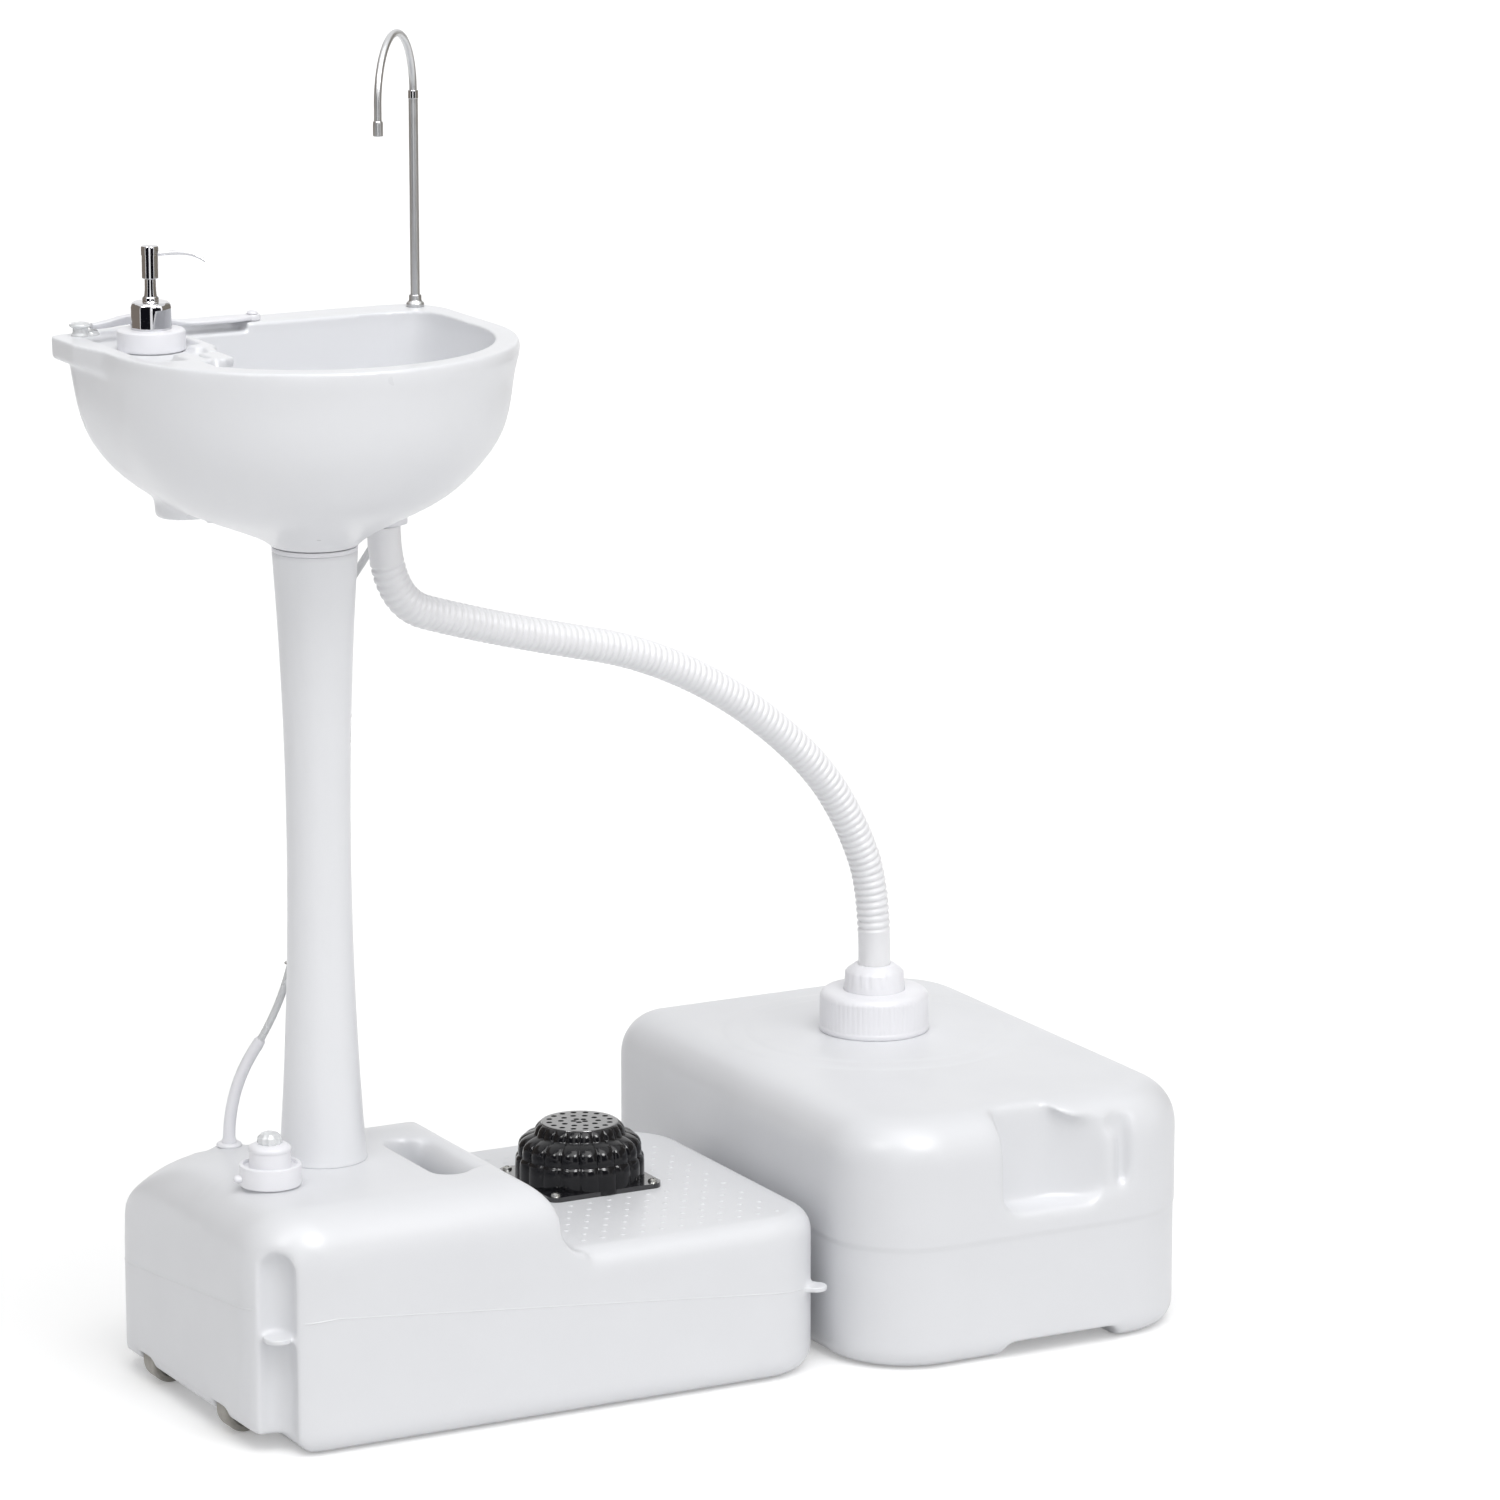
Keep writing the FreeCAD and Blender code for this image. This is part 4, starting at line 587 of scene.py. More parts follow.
class SINK_OT_supply_hose(bpy.types.Operator):
    """Thin supply hose up behind the pedestal, with its sleeve, grommet and wire clip"""
    bl_idname = "sink.supply_hose"
    bl_label = "Supply hose"

    def execute(self, context):
        spots = [PORT + (190.5,), PORT + (232,), (-17, 39, 300), (0, 36, 368), (-1, 38, 450), (2, 38, 530),
                 (22, 47, 596), (76, 72, 640), (126, 101, 690), FAUCET + (748,), FAUCET + (798,)]
        hose = route("supply_hose_line", spots)
        points = route_points(hose)
        hose.data.bevel_depth = 3.0 * MM
        hose.data.bevel_resolution = 6
        hose.data.use_fill_caps = True
        hose.data.materials.append(FINISH["hose_clear"])
        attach(hose, "base")
        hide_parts("supply_hose")
        shape = ((0, 5.6), (3, 5.6), (4, 5.0), (20, 4.8), (84, 4.7), (88, 4.5), (90, 3.9))
        steps = np.linspace(0, shape[-1][0], 46)
        radii = np.interp(steps, [s for s, _ in shape], [r for _, r in shape])
        mesh = bar("supply_hose_sleeve", along(points, steps), radii, 24)
        sleeve = piece("supply_hose_sleeve", mesh, "cap_plastic", "base", "supply_sleeve")
        clip = piece("hose_clip_wire", self.clip(points), "steel", "base", "hose_clip")
        foot = [(3.3, 190.5), (8.6, 190.5), (9.6, 189.9), (10.0, 188.9), (10.0, 188.0), (5.9, 188.0),
                (5.9, 181.0), (3.3, 181.0)]
        turned_piece("supply_port_collar", foot, PORT, "cap_plastic", "base", "supply_grommet", steps=48,
                     closed=True)
        return {"FINISHED"}

    def clip(self, points):
        """Wire eye round the hose, its two legs twisted into the pedestal's back."""
        height = 337.0
        spot = points[np.argmin(abs(points[:, 2] - height))]
        inward = np.array((-spot[0], -spot[1], 0.0))
        inward /= np.linalg.norm(inward)
        across = np.array((-inward[1], inward[0], 0.0))
        eye_radius, pedestal_radius = 4.4, 27.6
        wire = []
        for i in range(41):
            a = math.radians(20 + 320 * i / 40)
            wire.append(spot + eye_radius * (inward * math.cos(a) + across * math.sin(a)))
        far = math.hypot(spot[0], spot[1]) - pedestal_radius
        first = [wire[0] + inward * (far - eye_radius) * k for k in (1.0, 0.6, 0.25)]
        last = [wire[-1] + inward * (far - eye_radius) * k for k in (0.25, 0.6, 1.0)]
        eye = bar("eye", np.array(first + wire + last), 0.8, 12)
        root = spot + inward * (far - 1.0)
        button = bar("button", [root, root + inward * 1.2, root + inward * 2.5], [2.6, 3.4, 3.6], 20)
        return joined("hose_clip_wire", eye, button)


class SINK_OT_fresh_tank(bpy.types.Operator):
    """Fresh water tank: soft moulded wall, parting bead, strap lugs and grip studs"""
    bl_idname = "sink.fresh_tank"
    bl_label = "Fresh water tank"

    def execute(self, context):
        sizes = context.scene.sink_sizes
        plugs = [FILLER + (15.5, 181.0, 188.0), PUMP + (26.0, 122.0, 129.4), PORT + (8.0, 178.0, 187.6)]
        plugs += [(PUMP[0] + sx * SCREW_REACH, PUMP[1] + sy * SCREW_REACH, 4.0, 117.0, 129.4)
                  for sx in (-1, 1) for sy in (-1, 1)]
        extras = []
        for x, y, z in WHEEL_SPOTS:
            extras += [bar("plug", [(x, y + s * 13.2, z), (x, y + s * 17.5, z)], 5.0, 24) for s in (-1, 1)]
        soft = [(48.0, 142.0, -100.0, 40.0, 148.0, 195.0, 14),
                (-145.0, 20.0, 60.0, 170.0, 140.0, 195.0, 10),
                (-125.0, -69.0, -10.0, 160.0, 108.0, 195.0, 60)]
        skin = moulded_skin("fresh_tank_wall", "fresh_tank", plugs, extras, sizes.tank_grain, 7, soft)
        piece("fresh_tank_wall", skin, "tank_plastic", "base", "fresh_tank")
        piece("fresh_tank_parting_bead", self.bead(sizes.bead / MM), "tank_plastic", "base")
        soft_edges(piece("fresh_tank_lugs", self.lugs(), "tank_plastic", "base"), 1.2)
        piece("fresh_tank_grip_studs", self.studs(sizes.stud_pitch / MM), "tank_plastic", "base")
        return {"FINISHED"}

    def bead(self, width):
        """Bead along the mould's parting line, high at the wheeled end and open at the groove."""
        outline = rounded_outline(-119.4, 369.4, -152.4, 156.4, 54.4, 3.0)
        corner = np.array(LUG_CORNERS[0])
        start = int(np.argmin(np.linalg.norm(outline - corner, axis=1)))
        outline = np.roll(outline, -start, 0)
        outline = outline[np.linalg.norm(outline - corner, axis=1) > 19.0]
        height = np.interp(outline[:, 0], (-120.0, -60.0, 370.0), (104.0, 108.0, 68.0))
        height += np.where(outline[:, 0] < -110, -0.1 * (outline[:, 1] + 20.0), 0.0)
        points = np.column_stack([outline, height])
        return bar("fresh_tank_parting_bead", points, width / 2, 10)

    def lugs(self):
        """Two flat ears at the front corners."""
        k = math.sqrt(0.5)
        thick = 4.0
        parts = []
        for corner, out, half, r0, r1, z in ((LUG_CORNERS[0], (-k, -k), 11.0, -16.0, 7.0, 91.0),
                                             (LUG_CORNERS[1], (k, -k), 9.0, -4.0, 15.0, 67.0)):
            across = (-out[1], out[0])
            edge = [(-half - 2.0, r0), (-half - 0.3, r0 + 8.0)]
            for i in range(25):
                a = math.pi * (1 - i / 24)
                edge.append((half * math.cos(a), r1 - half + half * math.sin(a)))
            edge += [(half + 0.3, r0 + 8.0), (half + 2.0, r0)]
            plan = [tuple(corner[i] + across[i] * u + out[i] * v for i in (0, 1)) for u, v in edge]
            parts.append(prism("lug", plan, z, z + thick))
        return joined("fresh_tank_lugs", *parts)

    def studs(self, pitch):
        """Low domes in staggered rows over the lower deck, clear of the pump's flange."""
        dome = ((2.5, -0.3), (2.1, 0.16), (1.5, 0.42), (0.8, 0.57), (0.0, 0.62))
        left, right, front, back = 164.0, 340.0, -122.0, 128.0
        free = 55.0
        parts = []
        row = 0
        y = front
        while y < back:
            x = left + (pitch / 2 if row % 2 else 0.0)
            while x < right:
                if abs(x - PUMP[0]) > free or abs(y - PUMP[1]) > free:
                    parts.append(turned("stud", [(r, LOW_DECK + h) for r, h in dome], (x, y), 12))
                x += pitch
            row += 1
            y += pitch * 0.87
        return joined("fresh_tank_grip_studs", *parts)


class SINK_OT_waste_tank(bpy.types.Operator):
    """Waste tank: soft moulded wall with its grip recess, parting step and low disc round the cap"""
    bl_idname = "sink.waste_tank"
    bl_label = "Waste tank"

    def execute(self, context):
        sizes = context.scene.sink_sizes
        plugs = [CAP + (37.0, 190.0, 199.0)]
        soft = [(495.0, 640.0, -192.0, -145.0, 108.0, 204.0, 20),
                (550.0, 635.0, -192.0, -145.0, 112.0, 204.0, 8)]
        extras = [self.bridge(), self.ramp()]
        skin = moulded_skin("waste_tank_wall", "waste_tank", plugs, extras, sizes.tank_grain, 7, soft)
        parting_step(skin, height=99.0, depth=0.8)
        raised_disc(skin, CAP, radius=104.0, rise=0.6)
        piece("waste_tank_wall", skin, "tank_plastic", "waste_tank", "waste_tank")
        return {"FINISHED"}

    def bridge(self):
        """Strip of the front edge that closes the right part of the grip recess at the top."""
        high, edge, front = 200.0, 36.0, -186.0
        stations = ((556.0, 196.0), (559.0, 192.5), (564.0, 189.0), (571.0, 186.5), (580.0, 185.0),
                    (624.0, 185.0))
        verts = []
        for x, under in stations:
            start = math.asin((under - high + edge) / edge)
            for i in range(9):
                a = start * (1 - i / 8) + math.pi / 2 * i / 8
                verts.append((x, front + edge - edge * math.cos(a), high - edge + edge * math.sin(a)))
            verts.append((x, front + edge, under))
        return solid("bridge", verts, ring_faces(len(stations), len(verts) // len(stations)))

    def ramp(self):
        """Slope from the floor of the grip recess up to its right end."""
        plan = ((554.0, -156.5), (554.0, -158.0), (564.0, -161.0), (578.0, -168.0), (590.0, -175.5),
                (600.0, -181.0), (600.0, -156.5))
        return prism("ramp", plan, 116.5, 188.0)


def circle_through(first, second, third):
    """Centre and radius of the circle through three points of a plane."""
    ax, ay, bx, by, cx, cy = first + second + third
    d = 2 * (ax * (by - cy) + bx * (cy - ay) + cx * (ay - by))
    sq = [p[0] ** 2 + p[1] ** 2 for p in (first, second, third)]
    ox = (sq[0] * (by - cy) + sq[1] * (cy - ay) + sq[2] * (ay - by)) / d
    oy = (sq[0] * (cx - bx) + sq[1] * (ax - cx) + sq[2] * (bx - ax)) / d
    return ox, oy, math.hypot(ax - ox, ay - oy)


class SINK_OT_pedestal(bpy.types.Operator):
    """Waisted pedestal column and the thin ring at its top"""
    bl_idname = "sink.pedestal"
    bl_label = "Pedestal"

    def execute(self, context):
        ox, oz, radius = circle_through((34.0, DECK), (25.0, 480.0), (32.7, 663.5))
        heights = np.linspace(192.5, 661.5, 90)
        side = [(ox - math.sqrt(radius ** 2 - (z - oz) ** 2), z) for z in heights]
        profile = [(30.5, DECK + 0.05), (33.2, DECK + 0.1), (34.1, DECK + 0.6), (34.3, DECK + 1.5),
                   (34.1, DECK + 2.6)] + side
        profile += [(32.7, 663.5), (32.8, 666.4), (32.5, 667.2), (31.8, 667.5), (26.0, 667.5), (26.0, 690.0)]
        turned_piece("pedestal_column", profile, (0, 0), "basin_plastic", "base", "pedestal", steps=128)
        ring = [(26.4, 667.5), (32.3, 667.5), (32.9, 667.9), (33.0, 669.3), (32.9, 670.6), (32.5, 671.0),
                (26.4, 671.0)]
        turned_piece("pedestal_top_ring", ring, (0, 0), "cap_plastic", "base", "pedestal_ring", steps=128,
                     closed=True)
        return {"FINISHED"}


class SINK_OT_basin(bpy.types.Operator):
    """Double-walled basin with its soap tray and the blocks between tray and bowl"""
    bl_idname = "sink.basin"
    bl_label = "Basin"

    def execute(self, context):
        sizes = context.scene.sink_sizes
        # Vent of the space between the walls: plugged, at the height of the wall found beside it
        vent = (-95.0, -20.0)
        hit = NODES["basin"].ray_cast(Vector((vent[0] + 3.0, vent[1], 600.0)) * MM, Vector((0, 0, 1)))
        wall = hit[1].z / MM
        plugs = [vent + (3.2, wall + 0.5, wall + 4.0)]
        soft = [(-180.0, -105.0, -30.0, 130.0, 780.0, 826.0, 14),
                (-150.0, -40.0, -20.0, 110.0, 660.0, 748.0, 30),
                (-40.0, 40.0, -40.0, 40.0, 660.0, 700.0, 8),
                (-126.0, -66.0, -52.0, 34.0, 820.0, 836.0, 6)]
        blocks = []
        for x0, x1, y0, y1 in ((-93.0, -74.0, 7.0, 22.0), (-101.5, -84.0, -46.0, -16.0),
                               (-121.0, -105.0, -46.0, -13.0)):
            blocks.append(prism("divider_block", ((x0, y0), (x1, y0), (x1, y1), (x0, y1)), 822.0, RIM - 0.2))
        skin = moulded_skin("basin_wall", "basin", plugs, blocks, sizes.basin_grain, 4, soft)
        piece("basin_wall", skin, "basin_plastic", "base", "basin")
        return {"FINISHED"}


class SINK_OT_soap_pump(bpy.types.Operator):
    """Soap dispenser: shoulder ring, faceted collar, stem, head with its spout, and the spring"""
    bl_idname = "sink.soap_pump"
    bl_label = "Soap dispenser"

    def execute(self, context):
        ring = [(13.5, 826.3), (23.1, 826.3), (23.1, 824.3), (25.4, 824.3), (25.8, 825.0), (26.0, 827.0),
                (26.0, 837.2), (25.6, 838.8), (24.2, 839.8), (22.6, 840.0), (13.5, 840.0)]
        turned_piece("soap_shoulder_ring", ring, SOAP, "cap_plastic", "soap_bottle", "soap_ring", closed=True)
        true_shading(piece("soap_collar_faceted", self.collar(), "chrome", "soap_bottle", "soap_collar"))
        stem = [(1.5, 806.0), (5.0, 806.0), (5.0, 864.4), (4.75, 866.0), (4.45, 869.0), (4.35, 872.0),
                (4.3, 877.8), (3.0, 878.0), (3.0, 897.0), (1.5, 897.0)]
        true_shading(turned_piece("soap_stem_rod", stem, SOAP, "chrome", "soap_stem", "soap_stem", steps=64,
                                  closed=True))
        true_shading(piece("soap_head_spout", self.head(), "chrome", "soap_head", "soap_head"))
        mesh = coil("soap_return_spring", SOAP, radius=4.6, low=783.8, rise=21.4, turns=5, wire=0.6, steps=24,
                    sides=10)
        spring = piece("soap_return_spring", mesh, "steel", "soap_bottle", "soap_spring")
        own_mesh(spring)
        return {"FINISHED"}

    def collar(self):
        """Ten barely flattened sides under a chamfered top and a small neck for the stem."""
        profile = [(5.1, 840.0), (15.4, 840.0), (15.6, 840.6), (15.6, 842.0), (15.5, 855.4), (15.5, 856.8),
                   (15.0, 858.6), (14.2, 859.8), (13.0, 860.5), (6.5, 860.6), (6.2, 861.2), (6.4, 862.2),
                   (6.2, 863.6), (5.5, 864.6), (5.1, 864.6)]

        def sides(row, a):
            return 0.16 * math.cos(10 * a) if 0 < row < 8 else 0.0

        return turned("soap_collar_faceted", profile, SOAP, 160, sides, closed=True, sharp=30.0)

    def head(self):
        """Turned cap with a band at its top and a thin curved spout."""
        profile = [(3.1, 878.3), (6.0, 878.3), (6.3, 878.7), (6.3, 895.6), (6.7, 896.1), (6.7, 901.7),
                   (6.2, 902.7), (5.0, 903.0), (0.0, 903.0)]
        cap = turned("cap", profile, SOAP, 64)
        way = (0.88, -0.475)
        run = [(4.5, 897.0, 2.3), (8.0, 897.0, 1.7), (12.0, 897.2, 1.65), (17.0, 897.6, 1.7),
               (22.0, 897.8, 1.7), (27.0, 897.5, 1.6), (31.0, 896.7, 1.5), (35.0, 895.3, 1.35),
               (39.0, 893.2, 1.2), (42.0, 891.2, 1.1)]
        points = np.array([(SOAP[0] + way[0] * s, SOAP[1] + way[1] * s, z) for s, z, _ in run])
        at = along(points, np.linspace(0, run_of(points)[-1], 60))
        radii = np.interp(np.linspace(0, 1, 60), np.linspace(0, 1, len(run)), [r for _, _, r in run])
        return joined("soap_head_spout", cap, bar("spout", at, radii, 20))


class SINK_OT_towel_arm(bpy.types.Operator):
    """Swinging towel arm, its pin and the clear rest"""
    bl_idname = "sink.towel_arm"
    bl_label = "Towel arm"

    def execute(self, context):
        piece("towel_arm_blade", self.blade(), "cap_plastic", "towel_arm", "towel_arm")
        pin = [(0.0, 820.6), (3.0, 820.6), (3.0, 835.4), (4.4, 835.4), (4.3, 836.2), (3.6, 837.2),
               (2.2, 837.7), (0.0, 837.8)]
        turned_piece("towel_arm_pin", pin, TOWEL, "cap_plastic", "base", "towel_pin", steps=48)
        rest = [(0.0, RIM), (7.3, RIM), (7.5, 830.5), (6.6, 831.6), (6.2, 832.4), (6.0, 833.4), (0.0, 833.4)]
        knob = turned("knob", rest, (TOWEL_TIP[0] - 2.0, TOWEL_TIP[1]), 24)
        post = [(0.0, RIM), (7.0, RIM), (7.2, 830.8), (6.2, 831.8), (5.8, 833.0), (5.8, 836.0), (7.6, 836.8),
                (8.4, 837.6), (8.4, 838.6), (7.6, 839.6), (6.0, 839.9), (4.4, 839.2), (0.0, 838.9)]
        stop = turned("stop", post, (TOWEL_TIP[0] - 10.2, TOWEL_TIP[1] - 1.0), 40)
        piece("towel_arm_rest", joined("towel_arm_rest", knob, stop), "clear_plastic", "base", "towel_rest")
        return {"FINISHED"}

    def blade(self):
        """Arm lofted from the pivot's eye to the free end, bowed up and deeper behind the soap dispenser."""
        tip = np.array(TOWEL_TIP)
        root = np.array(TOWEL)
        far = np.linalg.norm(tip - root)
        way = (tip - root) / far
        across = np.array((-way[1], way[0]))
        middle = RIM + 2.85
        rise = ((2.0, 0.0, 5.0, 0.0, 0.0), (7.0, 0.0, 7.6, 0.0, 0.0), (14.0, 0.0, 9.4, 0.0, 0.0),
                (24.0, 0.0, 10.0, 0.0, 0.0), (42.0, 0.0, 9.6, 0.0, 0.0), (56.0, 0.1, 8.2, 0.0, 0.0),
                (66.0, 1.6, 7.0, 0.6, 0.2), (83.0, 6.2, 5.6, 3.2, 0.6), (94.0, 8.2, 5.4, 4.6, 0.9),
                (103.0, 9.0, 5.4, 5.0, 1.0), (112.0, 8.0, 5.4, 4.4, 1.0), (122.0, 5.6, 5.2, 2.6, 0.9),
                (far - 2.0, 3.7, 4.4, 0.4, 0.5), (far + 1.0, 3.6, 3.0, 0.0, 0.3))
        verts = []
        n = 20
        for s, lift, half, deeper, lean in rise:
            for i in range(n):
                a = 2 * math.pi * (i + 0.5) / n
                v = (2.2 + deeper / 2) * math.copysign(abs(math.sin(a)) ** 0.6, math.sin(a))
                u = half * math.copysign(abs(math.cos(a)) ** 0.6, math.cos(a)) + lean * v
                x, y = root + way * s + across * u
                verts.append((x, y, middle + lift - deeper / 2 + v))
        strip = solid("strip", verts, ring_faces(len(rise), n), 60.0)
        profile = [(3.1, 830.6), (5.8, 830.6), (6.4, 831.2), (6.4, 834.2), (5.9, 834.9), (5.0, 835.1),
                   (3.1, 835.1)]
        eye = turned("eye", profile, TOWEL, 48, closed=True)
        return joined("towel_arm_blade", strip, eye)


class SINK_OT_faucet(bpy.types.Operator):
    """Foot ferrule, joint ring and nozzle of the faucet; its tubes keep their solids"""
    bl_idname = "sink.faucet"
    bl_label = "Faucet"

    def execute(self, context):
        ferrule = [(3.7, 808.0), (3.7, 839.0), (4.4, 839.0), (4.8, 838.4), (4.9, 835.0), (5.4, 833.8),
                   (6.6, 833.0), (7.0, 832.2), (7.0, 830.6), (6.7, 830.0), (5.9, 830.0), (5.9, 798.0),
                   (2.0, 798.0), (2.0, 808.0)]
        ring = [(3.65, 992.0), (3.8, 992.0), (3.95, 992.4), (3.95, 997.8), (3.7, 998.3), (2.95, 998.5),
                (2.95, NECK_TOP), (3.65, NECK_TOP)]
        nozzle = [(2.4, 975.5), (3.6, 975.5), (3.85, 975.9), (3.85, 984.0), (3.7, 986.2), (3.3, 987.0),
                  (2.95, 987.0), (2.95, 978.0), (2.4, 978.0)]
        way, reach = (-0.66, -0.751), 99.0
        drop = (FAUCET[0] + way[0] * reach, FAUCET[1] + way[1] * reach)
        for name, profile, centre, slot, body, node in (
                ("faucet_foot_ferrule", ferrule, FAUCET, "stainless", "base", "faucet_ferrule"),
                ("faucet_neck_ring", ring, FAUCET, "chrome", "faucet", "faucet_joint_ring"),
                ("faucet_spout_nozzle", nozzle, drop, "stainless", "faucet", "faucet_nozzle")):
            true_shading(turned_piece(name, profile, centre, slot, body, node, steps=64, closed=True))
        return {"FINISHED"}


class SINK_OT_foot_pump(bpy.types.Operator):
    """Foot pump: lobed bellows with the return spring inside, and the drilled tread on top"""
    bl_idname = "sink.foot_pump"
    bl_label = "Foot pump"

    def execute(self, context):
        lobes = context.scene.sink_sizes.lobes
        rows = ((130.4, 50.2, 1.2), (131.4, 50.7, 1.6), (135.0, 50.9, 2.0), (145.0, 50.7, 2.5),
                (149.0, 50.4, 2.6), (150.6, 50.0, 2.5), (151.8, 49.3, 2.4), (152.6, 48.6, 2.2),
                (153.4, 48.3, 2.2), (154.6, 48.4, 2.4), (158.5, 48.3, 2.8), (162.0, 47.3, 3.0),
                (164.6, 45.6, 3.0), (166.8, 43.0, 2.8), (168.4, 39.8, 2.3), (169.2, 37.4, 1.9),
                (169.8, 36.0, 1.7), (170.6, 35.4, 1.7), (172.4, 35.0, 1.9), (174.4, 34.2, 1.9),
                (176.2, 33.0, 1.6), (177.6, 31.8, 0.9), (178.3, 30.9, 0.2), (178.4, 29.0, 0.0))

        def ripple(row, a):
            return rows[row][2] * (abs(math.cos(lobes * a / 2)) ** 0.5 - 0.55)

        profile = [(r, z) for z, r, _ in rows]
        bellows = turned_piece("pump_bellows_lobed", profile, PUMP, "black_rubber", "base", "pump_bellows",
                               steps=lobes * 16, ripple=ripple, sharp=100.0)
        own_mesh(bellows)
        piece("pump_tread_drilled", self.tread(), "black_plastic", "pump_pad", "pump_pad")
        mesh = coil("pump_return_spring", PUMP, radius=15.0, low=135.6, rise=36.8, turns=5, wire=1.3,
                    steps=32, sides=12)
        spring = piece("pump_return_spring", mesh, "steel", "base", "pump_spring")
        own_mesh(spring)
        return {"FINISHED"}

    def tread(self):
        """Thin disc with a round edge and three rings of blind holes."""
        edge = [(0.0, 175.0), (30.6, 175.0), (30.8, 178.1), (30.4, 178.8), (29.4, 179.0), (29.0, 179.0),
                (28.6, 179.0), (0.0, 179.0)]
        disc = placed("tread_disc", turned("tread_disc", edge, PUMP, 120))
        bore = [(0.0, 176.8), (2.4, 176.8), (2.4, 182.0), (0.0, 182.0)]
        holes = []
        for count, r in ((5, 4.8), (10, 14.8), (16, 24.5)):
            for i in range(count):
                a = 2 * math.pi * (i + 0.3) / count
                spot = (PUMP[0] + r * math.cos(a), PUMP[1] + r * math.sin(a))
                holes.append(turned("hole", bore, spot, 20))
        drill = placed("tread_holes", joined("tread_holes", *holes))
        cut = disc.modifiers.new("Holes", "BOOLEAN")
        cut.operation = "DIFFERENCE"
        cut.solver = "EXACT"
        cut.object = drill
        mesh = bpy.data.meshes.new_from_object(disc.evaluated_get(bpy.context.evaluated_depsgraph_get()))
        for obj in (disc, drill):
            bpy.data.objects.remove(obj)
        mesh.set_sharp_from_angle(angle=math.radians(30.0))
        return mesh


class SINK_OT_filler_cap(bpy.types.Operator):
    """Filler cap with its lug, and the clear vent on it"""
    bl_idname = "sink.filler_cap"
    bl_label = "Filler cap"

    def execute(self, context):
        profile = [(0.0, 201.8), (18.4, 201.8), (18.4, 189.6), (23.4, 189.6), (24.0, 190.2), (24.0, 204.4),
                   (23.6, 205.4), (22.6, 205.8), (20.9, 205.8), (20.3, 205.2), (20.1, 203.6), (16.6, 203.4),
                   (16.2, 204.4), (15.9, 215.6), (16.4, 216.2), (16.4, 218.4), (15.8, 219.4), (12.6, 221.2),
                   (10.8, 221.7), (0.0, 221.8)]
        cup = turned("cup", profile, FILLER)
        a = math.radians(172)
        out = np.array((math.cos(a), math.sin(a), 0.0))
        root = np.array((FILLER[0], FILLER[1], 195.5))
        spots = [root + out * s for s in (19.5, 24.0, 27.0, 28.6, 29.4)]
        lug = bar("lug", spots, [4.2, 4.2, 3.8, 3.0, 1.2], 20, flat=0.75)
        piece("filler_cap_cup", joined("filler_cap_cup", cup, lug), "cap_plastic", "filler_cap", "filler_cap")

        def facets(row, angle):
            return -0.9 * abs(math.sin(6 * angle)) if row in (1, 2, 3) else 0.0

        vent = [(0.0, 221.8), (9.6, 221.8), (9.9, 223.0), (9.3, 226.6), (6.6, 229.4), (3.0, 230.7),
                (0.0, 230.8)]
        turned_piece("filler_vent_dome", vent, FILLER, "clear_plastic", "filler_cap", "filler_vent", steps=48,
                     ripple=facets, sharp=18.0)
        return {"FINISHED"}


class SINK_OT_waste_cap(bpy.types.Operator):
    """Screw cap of the waste tank and the collar that takes the hose"""
    bl_idname = "sink.waste_cap"
    bl_label = "Waste cap"

    def execute(self, context):
        ribs = context.scene.sink_sizes.cap_ribs
        profile = [(25.3, 229.5), (41.4, 229.5), (41.4, 202.6), (44.6, 202.6), (45.3, 203.2), (45.3, 206.4),
                   (44.9, 207.0), (44.6, 207.6), (44.6, 229.4), (44.2, 231.6), (43.0, 233.6), (41.2, 235.2),
                   (38.8, 236.0), (25.3, 236.0)]

        def grip(row, a):
            depth = {7: 0.3, 8: 0.4, 9: 0.25}.get(row, 0.0)
            return depth * (abs(math.cos(ribs * a / 2)) ** 0.5 - 0.6)

        turned_piece("waste_cap_ribbed", profile, CAP, "cap_plastic", "waste_cap", "waste_cap",
                     steps=ribs * 8, ripple=grip, closed=True, sharp=50.0)

        def knurl(row, a):
            return -0.7 * (abs(math.sin(9 * a)) ** 6) if row in (7, 8) else 0.0

        collar = [(10.0, 214.0), (10.0, 256.6), (14.0, 257.0), (16.6, 256.9), (17.6, 256.2), (20.0, 254.4),
                  (22.4, 252.6), (24.2, 250.2), (24.6, 241.5), (25.0, 240.2), (25.0, 228.0), (40.0, 228.0),
                  (40.0, 224.0), (32.0, 224.0), (32.0, 218.0), (13.0, 214.0)]
        turned_piece("waste_hose_collar", collar, CAP, "cap_plastic", "waste_tank", "hose_collar", steps=144,
                     ripple=knurl, closed=True)
        return {"FINISHED"}


class SINK_OT_plain_parts(bpy.types.Operator):
    """Finishes for the parts whose solids stay in view"""
    bl_idname = "sink.plain_parts"
    bl_label = "Remaining parts"

    def execute(self, context):
        slots = {part["node"]: part["material_slot"] for part in frame["record"]["subparts"]}
        for name, obj in NODES.items():
            obj.data.materials.clear()
            obj.data.materials.append(FINISH[slots[name]])
        for name in ("pump_flange", "drain_strainer", "drain_nut", "faucet_nut"):
            soft_edges(NODES[name], 0.5, 2)
        return {"FINISHED"}


